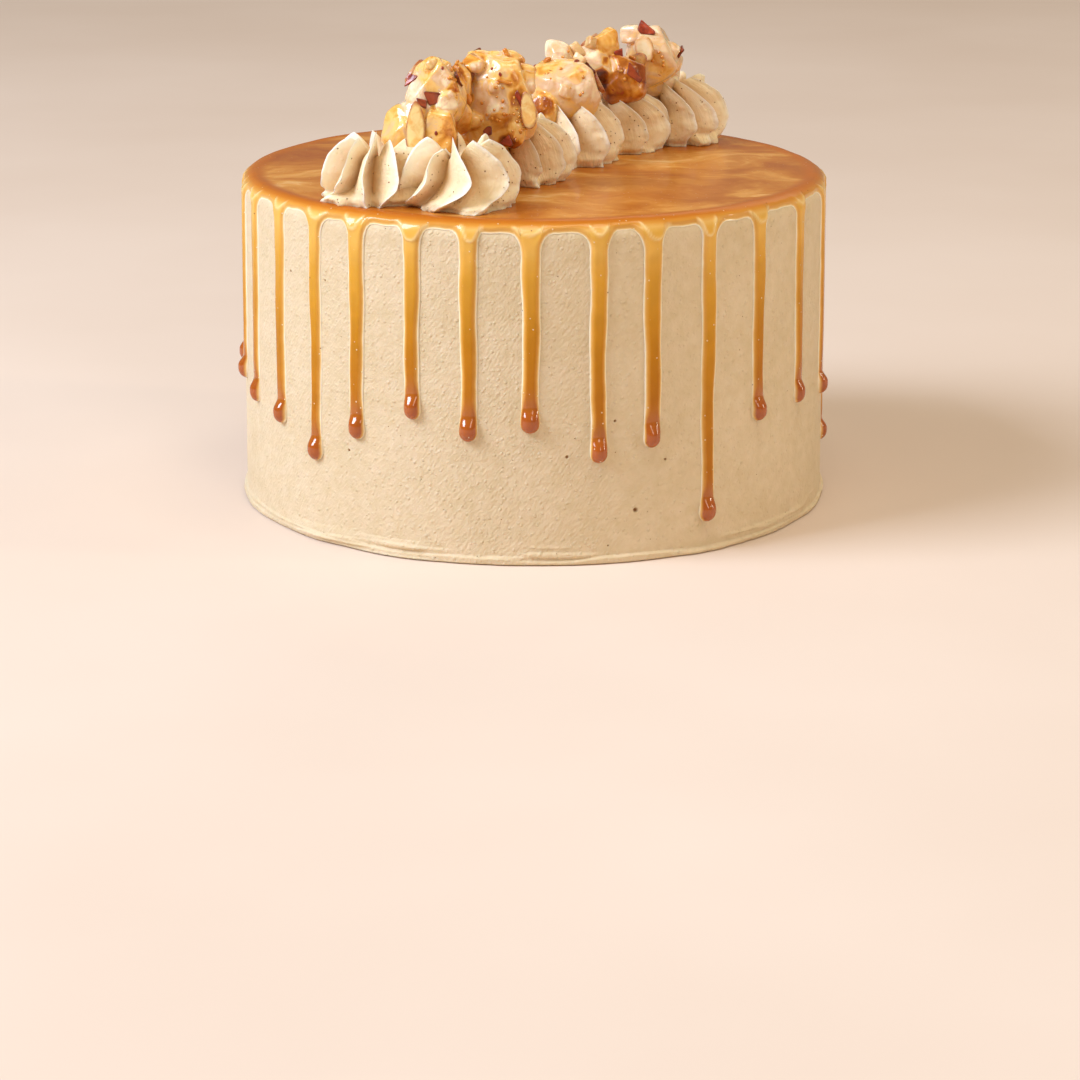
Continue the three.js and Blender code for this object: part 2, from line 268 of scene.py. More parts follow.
def buttercream(name, base, shade, pit_every, pit_radius, grain, wrinkle, slant, stroke, edges):
    """Whipped buttercream, smoothed with a scraper or squeezed through a nozzle. It is matt with a faint
    sheen of fat, lets a little warm light through, and shows fine grain, broken air bubbles and drag
    marks. base is its pair of colours in the open, and shade the colour of the painted shade laid into
    the grooves. pit_every and pit_radius are the spacing and radius of the bubbles in mm, whose middles
    are painted darker as painted shade, grain and wrinkle the depths of the two reliefs in mm, slant and
    stroke the direction of the drag marks and their length and width, and edges says that the piece has
    the layers edge, a painted highlight along its ridges, and hollow, painted shade in its
    grooves and down inside its crown."""
    finish, tree, shader = new_finish(name)
    place = add_node(tree, "TexCoord").outputs["Object"]
    surface = add_node(tree, "UVMap", {"uv_map": "surface"}).outputs["UV"]

    # Cloudy unevenness a finger wide, and a mottle the size of a lentil.
    cloud = add_node(tree, "TexNoise", inputs={"Vector": place, "Scale": MM / 22, "Detail": 2.0})
    mottle = add_node(tree, "TexNoise", inputs={"Vector": place, "Scale": MM / 3.5, "Detail": 3.0})
    both = add_node(tree, "Math", {"operation": "MULTIPLY_ADD"}, {0: cloud, 1: 0.6, 2: mottle})
    tone = add_node(tree, "MapRange", inputs={"Value": both, "From Min": 0.55, "From Max": 1.05})
    colour = add_node(tree, "Mix", {"data_type": "RGBA"}, {"Factor": tone, "A": linear(base[0]),
                                                           "B": linear(base[1])})
    # The layer hollow lays painted shade into the grooves and down inside the crown, and the layer edge lays
    # a painted highlight along the ridges.
    for layer, tint in (("hollow", shade), ("edge", "fff4e0")) if edges else ():
        amount = add_node(tree, "Attribute", {"attribute_name": layer}).outputs["Fac"]
        colour = add_node(tree, "Mix", {"data_type": "RGBA"}, {"Factor": amount, "A": colour,
                                                               "B": linear(tint)})

    # Broken bubbles: the middle of about a third of the cells, in drifts where they are common. Each is
    # dented, and its middle is painted darker: painted shade in the dent.
    cells = add_node(tree, "TexVoronoi", inputs={"Vector": place, "Scale": MM / pit_every})
    picked = add_node(tree, "SeparateColor", inputs={"Color": cells.outputs["Color"]})
    drift = add_node(tree, "TexNoise", inputs={"Vector": place, "Scale": MM / 14, "Detail": 1.0})
    chance = add_node(tree, "Math", {"operation": "MULTIPLY_ADD"}, {0: drift, 1: 1.6, 2: -0.45})
    chosen = add_node(tree, "Math", {"operation": "LESS_THAN"}, {0: picked, 1: chance})
    share = pit_radius / pit_every
    bowl = add_node(tree, "MapRange", inputs={"Value": cells.outputs["Distance"], "From Min": share,
                                              "From Max": share * 0.55})
    pit = add_node(tree, "Math", {"operation": "MULTIPLY"}, {0: bowl, 1: chosen})
    colour = add_node(tree, "Mix", {"data_type": "RGBA"}, {"Factor": pit, "A": colour,
                                                           "B": linear("95653a")})
    # On the frosting, the bowls of the larger bubbles are painted darker from their layer: painted shade
    # inside them.
    if not edges:
        bubble = add_node(tree, "Attribute", {"attribute_name": "pit"}).outputs["Fac"]
        colour = add_node(tree, "Mix", {"data_type": "RGBA"}, {"Factor": bubble, "A": colour,
                                                               "B": linear("8f6034")})

    # Grain of about half a millimetre, drawn a little coarser so that it shows, and drag marks.
    grains = add_node(tree, "TexNoise", inputs={"Vector": place, "Scale": MM / 1.3, "Detail": 3.0})
    slanted = add_node(tree, "Mapping", {"vector_type": "TEXTURE"},
                       {"Vector": surface, "Rotation": (0, 0, math.radians(slant)),
                        "Scale": (stroke[0] / MM, stroke[1] / MM, 1)})
    drags = add_node(tree, "TexNoise", inputs={"Vector": slanted, "Scale": 1.0, "Detail": 2.0})
    knots = add_node(tree, "TexVoronoi", inputs={"Vector": place, "Scale": MM / 1.9})
    knot = add_node(tree, "MapRange", inputs={"Value": knots.outputs["Distance"], "From Min": 0.30,
                                              "From Max": 0.12})
    first = add_node(tree, "Bump", inputs={"Height": grains, "Distance": grain / MM})
    second = add_node(tree, "Bump", inputs={"Height": drags, "Distance": wrinkle / MM, "Normal": first})
    nodule = add_node(tree, "Bump", inputs={"Height": knot, "Distance": 0.5 * grain / MM, "Normal": second})
    third = add_node(tree, "Bump", {"invert": True}, {"Height": pit, "Distance": 0.4 / MM, "Normal": nodule})
    connect(tree, shader, {"Normal": third, "Base Color": colour, "Roughness": 0.58, "IOR": 1.42,
                           "Specular IOR Level": 0.35, "Subsurface Weight": 0.35 if edges else 0.22,
                           "Subsurface Radius": (1.0, 0.75, 0.5) if edges else (1.0, 0.6, 0.35),
                           "Subsurface Scale": 2.2 / MM})
    return finish


def butterscotch():
    """Butterscotch glaze poured warm and set: sugar syrup with butter, clear amber where it is thick,
    yellow and then cream where it thins out over the frosting, wet and very glossy. The palest cream at
    its very outline, lighter than the frosting, is a painted bright rim where the thin edge catches light.
    On the top it is marbled with paler butter streaks that run with the pour. Its layers are margin, the
    distance to its outline in units of 3 mm; run, the way down a drip; top, how far over the rim; wet, how
    glassy it is; lip, the edge of the second pour."""
    finish, tree, shader = new_finish("butterscotch_glaze")
    place = add_node(tree, "TexCoord").outputs["Object"]
    margin, run, top, wet, lip = (add_node(tree, "Attribute", {"attribute_name": name}).outputs["Fac"]
                                  for name in ("margin", "run", "top", "wet", "lip"))

    # Streaks on the top: clouds 21 mm wide and 44 mm long, bent by a slow swirl.
    bend = add_node(tree, "TexNoise", inputs={"Vector": place, "Scale": MM / 38, "Detail": 3.0})
    sway = add_node(tree, "VectorMath", {"operation": "SCALE"}, {0: bend.outputs["Color"], "Scale": 62 / MM})
    moved = add_node(tree, "VectorMath", {"operation": "ADD"}, {0: place, 1: sway})
    drawn = add_node(tree, "Mapping", inputs={"Vector": moved, "Rotation": (0, 0, 0.10),
                                              "Scale": (MM / 44, MM / 21, MM / 44)})
    streak = add_node(tree, "TexNoise", inputs={"Vector": drawn, "Scale": 1.0, "Detail": 6.0,
                                                "Roughness": 0.58})
    marble = add_node(tree, "ValToRGB", {"stops": [(0.30, "9a4a0a"), (0.42, "ae6013"), (0.52, "be7524"),
                                                   (0.61, "d29142"), (0.71, "e8c086")]}, {"Fac": streak})

    # Down a drip it darkens from gold to a red-brown bead.
    core = add_node(tree, "ValToRGB", {"stops": [(0.0, "e3ad4c"), (0.14, "d39726"), (0.42, "be7c10"),
                                                 (0.76, "b0660a"), (1.0, "a8500a")]}, {"Fac": run})
    blotch = add_node(tree, "TexNoise", inputs={"Vector": place, "Scale": MM / 6, "Detail": 2.0})
    vary = add_node(tree, "MapRange", inputs={"Value": blotch, "From Min": 0.3, "From Max": 0.7,
                                              "To Min": 0.94, "To Max": 1.06})
    varied = add_node(tree, "VectorMath", {"operation": "SCALE"}, {0: core, "Scale": vary})
    # Round the rim it is thick and dark, and on the shoulder it thins to gold before the drips start.
    # The attribute top is 0 from 6 mm inside the shoulder and 1 from 6 mm down it.
    rim = add_node(tree, "ValToRGB", {"stops": [(0.34, "ac5a14"), (0.60, "b16016"), (0.70, "c0711f"),
                                                (0.79, "d39037"), (0.88, "e3b160")]}, {"Fac": top})
    at_rim = add_node(tree, "MapRange", {"interpolation_type": "SMOOTHSTEP"},
                      {"Value": top, "From Min": 0.20, "From Max": 0.52})
    upper = add_node(tree, "Mix", {"data_type": "RGBA"}, {"Factor": at_rim, "A": marble, "B": rim})
    on_drip = add_node(tree, "MapRange", {"interpolation_type": "SMOOTHSTEP"},
                       {"Value": top, "From Min": 0.86, "From Max": 1.0})
    body = add_node(tree, "Mix", {"data_type": "RGBA"}, {"Factor": on_drip, "A": upper, "B": varied})
    uneven = add_node(tree, "MapRange", inputs={"Value": blotch, "From Min": 0.3, "From Max": 0.7,
                                                "To Min": 0.03, "To Max": -0.03})
    inner = add_node(tree, "Math", {"operation": "ADD"}, {0: margin, 1: uneven})
    # Thin glaze over the frosting turns gold and then cream; the palest cream right at the outline, lighter
    # than the frosting itself, is a painted bright rim for light caught on the thin edge.
    thinning_and_painted_rim = add_node(tree, "ValToRGB", {"stops": [(0.03, "f8ead2"), (0.10, "f3dcb0"), (0.17, "e6b870"),
                                                 (0.28, "d99d48")]}, {"Fac": inner})
    solid = add_node(tree, "MapRange", {"interpolation_type": "SMOOTHSTEP"},
                     {"Value": inner, "From Min": 0.12, "From Max": 0.58})
    colour = add_node(tree, "Mix", {"data_type": "RGBA"}, {"Factor": solid, "A": thinning_and_painted_rim, "B": body})
    edge = add_node(tree, "Math", {"operation": "MULTIPLY"}, {0: lip, 1: 0.65})
    colour = add_node(tree, "Mix", {"data_type": "RGBA"}, {"Factor": edge, "A": colour,
                                                           "B": linear("f7dda2")})

    # Specks: pale ones are trapped bubbles, dark ones burnt sugar, both about half a millimetre.
    cells = add_node(tree, "TexVoronoi", inputs={"Vector": place, "Scale": MM / 2.3})
    picked = add_node(tree, "SeparateColor", inputs={"Color": cells.outputs["Color"]})
    dot = add_node(tree, "MapRange", inputs={"Value": cells.outputs["Distance"], "From Min": 0.13,
                                             "From Max": 0.07})
    few = add_node(tree, "Math", {"operation": "GREATER_THAN"}, {0: picked.outputs["Red"], 1: 0.4})
    speck = add_node(tree, "Math", {"operation": "MULTIPLY"}, {0: dot, 1: few})
    dark = add_node(tree, "Math", {"operation": "GREATER_THAN"}, {0: picked.outputs["Green"], 1: 0.85})
    tint = add_node(tree, "Mix", {"data_type": "RGBA"}, {"Factor": dark, "A": linear("fbe6b8"),
                                                         "B": linear("6c300c")})
    sparse = add_node(tree, "MapRange", inputs={"Value": top, "From Min": 0.4, "From Max": 0.9,
                                                "To Min": 0.22, "To Max": 0.8})
    amount = add_node(tree, "Math", {"operation": "MULTIPLY"}, {0: speck, 1: sparse})
    colour = add_node(tree, "Mix", {"data_type": "RGBA"}, {"Factor": amount, "A": colour, "B": tint})

    ripple = add_node(tree, "TexNoise", inputs={"Vector": drawn, "Scale": 3.0, "Detail": 2.0})
    first = add_node(tree, "Bump", inputs={"Height": ripple, "Distance": 0.14 / MM})
    second = add_node(tree, "Bump", inputs={"Height": speck, "Distance": 0.2 / MM, "Strength": 0.8,
                                            "Normal": first})
    connect(tree, shader, {"Normal": second, "Base Color": colour, "Coat Weight": wet,
                           "Coat Roughness": 0.07, "Coat IOR": 1.6, "Roughness": 0.24, "IOR": 1.42,
                           "Specular IOR Level": 0.12, "Subsurface Weight": 0.12,
                           "Subsurface Radius": (1.0, 0.45, 0.12), "Subsurface Scale": 1.4 / MM})
    return finish


def brittle_coat():
    """Nuts bound in butter toffee, smooth and wet. The layer tint runs from 0, deep brown syrup, over
    amber and gold to 0.85, a nut under a milky film, and 1, bare nut; ridge and crease are 1 where the
    surface turns sharply out or in, which is where syrup gathered."""
    finish, tree, shader = new_finish("toffee_on_nuts")
    place = add_node(tree, "TexCoord").outputs["Object"]
    tint, ridge, crease = (add_node(tree, "Attribute", {"attribute_name": name}).outputs["Fac"]
                           for name in ("tint", "ridge", "crease"))
    cloud = add_node(tree, "TexNoise", inputs={"Vector": place, "Scale": MM / 5.0, "Detail": 3.0,
                                               "Roughness": 0.5, "Distortion": 0.8})
    shift = add_node(tree, "MapRange", inputs={"Value": cloud, "From Min": 0.3, "From Max": 0.7,
                                               "To Min": -0.20, "To Max": 0.12})
    moved = add_node(tree, "Math", {"operation": "ADD"}, {0: tint, 1: shift})
    gold = add_node(tree, "Mix", {"data_type": "FLOAT"}, {"Factor": ridge, "A": moved, "B": 0.46})
    deep = add_node(tree, "Mix", {"data_type": "FLOAT"}, {"Factor": crease, "A": gold, "B": 0.22})
    base = add_node(tree, "ValToRGB", {"stops": [(0.0, "5c1f06"), (0.16, "96460c"), (0.32, "be701c"),
                                                 (0.46, "e3a041"), (0.60, "f2c270"), (0.74, "e2b786"),
                                                 (0.86, "edcda8"), (1.0, "fdebc4")]}, {"Fac": deep})

    # Flakes of red-brown nut skin, about a millimetre, here and there.
    flake = add_node(tree, "TexNoise", inputs={"Vector": place, "Scale": MM / 2.8, "Detail": 2.0,
                                               "Distortion": 1.2})
    flakes = add_node(tree, "MapRange", inputs={"Value": flake, "From Min": 0.72, "From Max": 0.76})
    colour = add_node(tree, "Mix", {"data_type": "RGBA"}, {"Factor": flakes, "A": base,
                                                           "B": linear("a5401a")})
    cells = add_node(tree, "TexVoronoi", inputs={"Vector": place, "Scale": MM / 2.6})
    froth = add_node(tree, "MapRange", inputs={"Value": cells.outputs["Distance"], "From Min": 0.22,
                                               "From Max": 0.10})
    fine = add_node(tree, "TexNoise", inputs={"Vector": place, "Scale": MM / 2.2, "Detail": 3.0})
    first = add_node(tree, "Bump", inputs={"Height": fine, "Distance": 0.26 / MM, "Strength": 0.6})
    second = add_node(tree, "Bump", inputs={"Height": froth, "Distance": 0.12 / MM, "Strength": 0.6,
                                            "Normal": first})
    connect(tree, shader, {"Normal": second, "Base Color": colour, "Roughness": 0.2, "IOR": 1.5,
                           "Specular IOR Level": 0.35, "Coat Weight": 0.7, "Coat Roughness": 0.03,
                           "Coat IOR": 1.4, "Subsurface Weight": 0.4, "Subsurface Radius": (1.0, 0.55, 0.25),
                           "Subsurface Scale": 2.4 / MM})
    return finish


def nut(name, flesh, deep, skin_colour, gloss):
    """A cut or sliced almond under a film of toffee: creamy flesh with faint veins, and brown skin left
    on its rim, where the layer rim is 1."""
    finish, tree, shader = new_finish(name)
    place = add_node(tree, "TexCoord").outputs["Object"]
    rim = add_node(tree, "Attribute", {"attribute_name": "rim"}).outputs["Fac"]
    vein = add_node(tree, "TexNoise", inputs={"Vector": place, "Scale": MM / 3.0, "Detail": 4.0,
                                              "Distortion": 0.6})
    base = add_node(tree, "ValToRGB", {"stops": [(0.38, deep), (0.58, flesh)]}, {"Fac": vein})
    patchy = add_node(tree, "TexNoise", inputs={"Vector": place, "Scale": MM / 2.0, "Detail": 2.0})
    amount = add_node(tree, "MapRange", inputs={"Value": patchy, "From Min": 0.3, "From Max": 0.6,
                                                "To Min": 0.45, "To Max": 1.0})
    worn = add_node(tree, "Math", {"operation": "MULTIPLY"}, {0: rim, 1: amount})
    colour = add_node(tree, "Mix", {"data_type": "RGBA"}, {"Factor": worn, "A": base,
                                                           "B": linear(skin_colour)})
    fine = add_node(tree, "TexNoise", inputs={"Vector": place, "Scale": MM / 0.9, "Detail": 2.0})
    bump = add_node(tree, "Bump", inputs={"Height": fine, "Distance": 0.12 / MM, "Strength": 0.8})
    connect(tree, shader, {"Normal": bump, "Base Color": colour, "Roughness": gloss, "IOR": 1.47,
                           "Coat Weight": 0.25, "Coat Roughness": 0.12, "Subsurface Weight": 0.3,
                           "Subsurface Radius": (1.0, 0.6, 0.3), "Subsurface Scale": 1.5 / MM})
    return finish


# ---------------------------------------------------------------- frosted body

def on_profile(reach, lift):
    """Radius and height of a point of the body's outline: straight over the top, a quarter of a circle
    round the shoulder, and straight down the wall, which widens a little to the foot. reach is the way
    along it from where the top starts to round over, negative inwards, and lift is how far out from it."""
    angle = np.clip(reach / SHOULDER, 0, math.pi / 2)
    down = np.maximum(reach - ARC, 0)
    wall = mix(FOOT_RADIUS, TOP_RADIUS, (BEND - down) / BEND) - TOP_RADIUS
    radius = INNER + np.minimum(reach, 0) + (SHOULDER + lift) * np.sin(angle) + wall
    return radius, BEND - down + (SHOULDER + lift) * np.cos(angle)


def frosted_body():
    """A grid of azimuth by reach over the top, shoulder and wall, closed underneath. Its lift is slow
    waves, level scraper strokes, a faint level line, a torn lip at the foot with folds and smears above
    it, and round bowls for the broken bubbles, around which the grid lines are drawn together."""
    columns, wall_rows, foot_rows = 330, 58, 26
    over_pit = np.linspace(-1.3, 1.3, 8)                            # grid lines, in radii of the bubble
    azimuths = [np.arange(columns) * 360 / columns - 180]
    heights = [np.linspace(7.5, 92, wall_rows), np.linspace(-0.2, 6.6, foot_rows)]
    for azimuth, z, size, _ in PITS:
        azimuths.append(np.degrees(over_pit * size / FOOT_RADIUS) + azimuth)
        heights.append(over_pit * size + z)
    azimuth = np.sort((np.concatenate(azimuths) + 180) % 360 - 180)
    azimuth = azimuth[np.diff(azimuth, prepend=-999) > 0.04]
    z = np.unique(np.round(np.concatenate(heights), 2))
    z = z[(z >= 0) & (np.diff(z, prepend=-9) > 0.045)]
    top = np.array([-80, -60, -40, -20, -8, -3, 0, 0.9, 1.8, 2.8, 3.8, 4.9, 5.9, ARC, 8.2, 9.8, 11.6])
    reach = np.concatenate([top, (BEND - z[z < BEND - 6][::-1]) + ARC])
    az, reach = np.meshgrid(np.radians(azimuth), reach, indexing="xy")
    radius, height = on_profile(reach, 0.0)
    place = polar(az, radius, height)
    wall = smooth(4, 12, reach)
    lift = 0.16 * noise(place, 34, 2) + 0.05 * noise(place, 9, 5)
    stroke_long, stroke_high = 26, 2.6
    stroke = polar(az, FOOT_RADIUS / stroke_long, height / stroke_high)
    lift = lift + wall * 0.05 * noise(stroke, 1, 3)
    level_line = 75 + 0.5 * np.sin(az * 3)
    lift = lift - wall * 0.05 * np.exp(-((height - level_line) / 0.35) ** 2)
    # The foot: a lip that the scraper pulled out and tore, and folds that lie over one another above it.
    # Its features are sized on a ring of 20 mm, so they are 4.65 times as long on the cake.
    ring = 20.0
    around = polar(az, ring, 0 * height)
    tear = noise(around, 2.1, 8)
    lip_height = 1.5 + 0.9 * noise(around, 5, 1) + 0.35 * tear
    lip = (0.75 + 0.55 * noise(around, 3.4, 4)) * smooth(lip_height + 0.35, lip_height - 0.2, height)
    fold_at = 3.0 + 1.4 * noise(around, 7, 6)
    fold = 0.5 * smooth(0.1, 0.5, noise(around, 6, 9)) * smooth(fold_at + 0.12, fold_at - 0.25, height)
    fold = fold * smooth(fold_at - 2.4, fold_at - 0.4, height)
    nibble = 0.6 * smooth(0.3, 0.8, noise(around, 0.8, 12)) * smooth(1.1, 0.2, height)
    smear_long, smear_high = 3.2, 1.3
    smear = noise(polar(az, ring / smear_long, height / smear_high + 0.3 * np.sin(az * 5)), 1, 15)
    smear = 0.55 * smooth(0.05, 0.45, smear) * smooth(6.4, 2.4, height)
    lift = lift + wall * (lip + fold + smear - nibble)
    # The layer pit marks each bowl, which the finish paints darker: painted shade inside it.
    pit = np.zeros_like(az)
    for azimuth, z, size, depth in PITS:
        away = np.hypot((az - math.radians(azimuth)) * FOOT_RADIUS, height - z) / size
        bowl = np.clip(1 - away ** 2, 0, 1) ** 0.6
        lift = lift - 0.7 * depth * bowl + 0.10 * np.exp(-((away - 1.15) / 0.25) ** 2)
        pit = np.maximum(pit, smooth(0.95, 0.45, away))
    radius, height = on_profile(reach, lift)
    points = polar(az, radius, np.maximum(height, 0))
    points[-1, :, 2] = 0.0
    uv = np.stack([az * FOOT_RADIUS / MM, (reach + 0 * az) / -MM], -1)
    points, faces = closed(points, (0, 0, HEIGHT), (0, 0, 0))
    finish = buttercream("smoothed_buttercream", ("dfc9a8", "d5be98"), "c9a274", pit_every=3.4,
                         pit_radius=0.20, grain=0.30, wrinkle=0.20, slant=52, stroke=(2.5, 0.75), edges=False)
    add_piece("frosting", points, faces, finish, "cake", {"pit": with_poles(pit)},
              with_poles(uv))


# ---------------------------------------------------------------- glaze

def all_drips():
    """Azimuth in radians and tip height of every drip, in order round the cake: from the left over the
    front to the right, and then the hidden ones round the back, evenly but for small shifts."""
    last = SEEN_DRIPS[-1][0]
    step = (360 + SEEN_DRIPS[0][0] - last) / (HIDDEN_DRIPS + 1)
    k = np.arange(1, HIDDEN_DRIPS + 1)
    azimuth = last + k * step + 1.6 * np.sin(2.4 * k)
    tip = 33 + 8 * np.sin(3.9 * k + 1) - 14 * (k == 6)
    seen = np.array(SEEN_DRIPS, float)
    return np.radians(np.concatenate([seen[:, 0], azimuth])), np.concatenate([seen[:, 1], tip])


BACK = -1.1                         # lift of the glaze's back, which is sunk in the frosting
TOP_RINGS = (84.0, 82.5, 80.5, 78, 75, 71.5, *range(68, 3, -4))     # radii of the rings on the flat top


def glaze():
    """The glaze is a grid whose columns follow its own outline. Each drip has a bundle of columns as wide
    as the drip, which runs on down to the tip, and each arch between two drips has a bundle that ends on
    the arch. The outline turns from an arch into a drip by a quarter of an ellipse. Its lift over the
    frosting goes by the distance to the outline: a thin lip with a round edge, then an S-curve up to the
    full thickness. Towards its tip a drip swells to a hanging drop with a half-round section, thickness
    times the square root of 1 - x squared, x across it from -1 to 1. The outline itself lies just below
    the frosting's surface. The same grid further in closes the back."""
    azimuth, tip = all_drips()
    drips = len(azimuth)
    k = np.arange(drips)
    inside, between = 14, 12                # cells across a drip, and across the arch next to it
    columns = drips * (inside + between)
    scale = TOP_RADIUS                      # mm round the wall for each radian
    length = TURN * scale
    wide = 2.95 * (1 + 0.05 * np.sin(k * 2.7))                      # half width of each stem
    after = np.roll(azimuth, -1) + TURN * (k == drips - 1)
    left, right = azimuth * scale + wide, after * scale - np.roll(wide, -1)
    arch = 4.9 + 0.3 * np.sin(k * 1.9)
    fillet_wide = rng.uniform(1.7, 4.8, (drips, 2))
    fillet_high = rng.uniform(3.4, 6.6, (drips, 2)) * (0.75 + 0.08 * fillet_wide)
    fillet_wide[8], fillet_high[8] = (4.2, 3.8), (5.2, 5.0)         # a round arch right of the centre
    fillet_wide[7], fillet_high[7] = (1.3, 3.0), (3.6, 6.4)

    def arch_reach(gap, s):
        """Reach of the outline between drip `gap` and the next one, at the way s round the wall."""
        a = (1 - bulge((s - left[gap]) / fillet_wide[gap, 0])) * fillet_high[gap, 0]
        b = (1 - bulge((right[gap] - s) / fillet_wide[gap, 1])) * fillet_high[gap, 1]
        return arch[gap] + a + b + 0.12 * np.sin(s * 0.9 + gap)

    # Outline points, to measure distances from: the arches, and the upper sides of the drips.
    gap, t = np.meshgrid(k, (1 - np.cos(np.linspace(0, math.pi, 61))) / 2, indexing="ij")
    s = mix(left[gap], right[gap], t)
    border = [np.stack([s, arch_reach(gap, s)], -1).reshape(-1, 2)]
    along = np.linspace(0, 7, 15)
    for side, edge in ((0, left), (1, right)):
        start = arch + fillet_high[:, side]
        border.append(np.stack([np.repeat(edge, len(along)), (start[:, None] + along).ravel()], -1))
    border = np.concatenate([np.concatenate(border) + (turn * length, 0) for turn in (-1, 0, 1)])

    # Columns: their way round the wall, and how far down the cap goes in them.
    x = np.array([0, 0.24, 0.46, 0.66, 0.80, 0.90, 0.965, 1])
    x = np.concatenate([-x[:0:-1], x])
    share = (1 - np.cos(np.linspace(0, 1, between + 1)[1:-1] * math.pi)) / 2
    gap_s = mix(left[:, None], right[:, None], share[None])
    s = np.concatenate([azimuth[:, None] * scale + x[None] * wide[:, None], gap_s], 1).ravel()
    head_left, head_right = np.roll(arch + fillet_high[:, 1], 1), arch + fillet_high[:, 0]
    head = mix(head_left[:, None], head_right[:, None], (x[None] + 1) / 2)
    foot = np.concatenate([head, arch_reach(k[:, None], gap_s)], 1).ravel()

    # Rows of the cap, close together towards the outline, and their distance to it.
    cap_rows, start = 27, -3.0
    f = 1 - (1 - np.linspace(0, 1, cap_rows)) ** 1.45
    reach = start + (foot[None] - start) * f[:, None]
    way = np.broadcast_to(s, reach.shape)
    flat = np.stack([way, reach], -1).reshape(-1, 2)
    away = np.full(len(flat), 9.0)
    for chunk in np.array_split(np.flatnonzero(flat[:, 1] > 0.5), 40):
        away[chunk] = np.sqrt(((flat[chunk][:, None] - border[None]) ** 2).sum(-1).min(1))
    away = away.reshape(reach.shape)
    away[-1, np.arange(columns) % (inside + between) > inside] = 0

    number = np.arange(columns) // (inside + between)
    offset = np.minimum(np.abs(s - azimuth[number] * scale), np.abs(s - after[number] * scale))
    at_drip = np.exp(-(offset[None] / 3.1) ** 2) * smooth(2.5, 8.5, reach)
    place = polar(way / scale, *on_profile(reach, 0.0))
    thickness = mix(1.0, 1.05, at_drip) * (1 + 0.10 * noise(place, 8, 3) * smooth(-2.8, 1.5, reach))
    sunk, thin_edge = 0.35, 0.26

    def spread(distance, proud):
        """A thin flat lip at the outline, then a soft rise to the full thickness."""
        rise = thin_edge * bulge(distance / 0.3) + (proud - thin_edge) * smooth(0.3, 1.5, distance)
        return rise - sunk * smooth(0.08, 0, distance)

    lift = spread(away, thickness) + 0.10 * noise(place, 17, 6) * smooth(1.5, 3.0, away)

    # A second pour lies over the first. It ends in a lip along the rim, which sags into a round tongue
    # at the head of nearly every drip.
    seen_front = np.exp(-(np.degrees(np.abs((azimuth + math.pi) % TURN - math.pi)) / 80) ** 4)
    sag = (1.4 + 2.0 * seen_front) * (1 + 0.4 * np.sin(k * 1.3))
    tongue_at = azimuth * scale + 0.8 * np.sin(k * 2.1)
    tongue_wide = 3.0 + 0.6 * np.sin(k * 3.3)
    hang, slope = np.zeros(columns), np.zeros(columns)
    for side in (0, 1):
        index = (number + side) % drips
        beside = (s - tongue_at[index] - length * ((number + side) // drips)) / tongue_wide[index]
        bump = sag[index] * np.exp(-np.abs(beside) ** 2.6)
        hang = hang + bump
        slope = slope - 2.6 * np.sign(beside) * np.abs(beside) ** 1.6 / tongue_wide[index] * bump
    lip = mix(arch[number], np.roll(arch, -1)[number], 0.5) - 1.0 + 0.25 * np.sin(s * 0.35) + hang
    inside_lip = (lip[None] - reach) / np.sqrt(1 + slope ** 2)[None]
    over = smooth(-0.3, 0.3, inside_lip)
    ridge = np.exp(-((inside_lip - 0.45) / 0.42) ** 2) * smooth(0.15, 0.6, hang)[None]
    lift = lift + (0.22 * over * smooth(-3.0, 2.0, reach) + 0.22 * ridge) * smooth(0.2, 0.9, away)

    # Rows down the drips: the stem, then the hanging drop with rows close together at its tip.
    stem_rows, drop_rows, drop = 26, 21, 10.5
    k, wide = k[None, :, None], wide[None, :, None]
    end = (ARC + BEND - tip)[None, :, None]
    u = np.linspace(0, 1, stem_rows + 1)[1:, None, None]
    v = np.sin(np.linspace(0, 1, drop_rows + 1)[1:, None, None] * math.pi / 2)
    stem = mix(head[None], end - drop, u ** 0.9)
    bulb = np.broadcast_to(end - drop + drop * v, (drop_rows, drips, inside + 1))
    down = np.concatenate([stem, bulb])
    above = end - down
    size = 2.85 * (1 + 0.07 * np.sin(k * 1.7 + 1))                  # radius of the bead
    neck = 0.8742 * wide
    body = mix(size, neck, smooth(size * 0.95, 9.0, above))
    body = mix(body, wide, smooth(18, 60, above))
    body = body * (1 + 0.035 * np.sin(down * 0.31 + k * 1.1) * smooth(9, 16, above))
    half = body * np.maximum(bulge(above / size), 0.02)
    half = mix(wide, half, smooth(0, 5, down - head.max(1)[None, :, None]))
    proud = mix(2.85 * (1 + 0.06 * np.sin(k * 2.3)), 1.05, smooth(4.2, 8.0, above)) * bulge(above / 3.3)
    sway = 0.22 * np.sin(down * 0.13 + k * 2.0) * smooth(0, 14, down - 10)
    drip_way = azimuth[None, :, None] * scale + x * half + sway
    margin = (1 - np.abs(x)) * half
    drip_lift = mix(spread(margin, proud), (proud + sunk) * np.sqrt(1 - x ** 2) - sunk,
                    smooth(10.5, 5.5, above))
    drip_run = 0.80 * np.clip((down - 7) / (end - 12), 0, 1) ** 1.1 + 0.20 * smooth(16, 2.5, above)
    margin = margin * (1 + 1.6 * smooth(12, 5, above))
    drip_wet = mix(0.3 * smooth(40, 12, down) + 0.18, 1, smooth(15, 7, above))

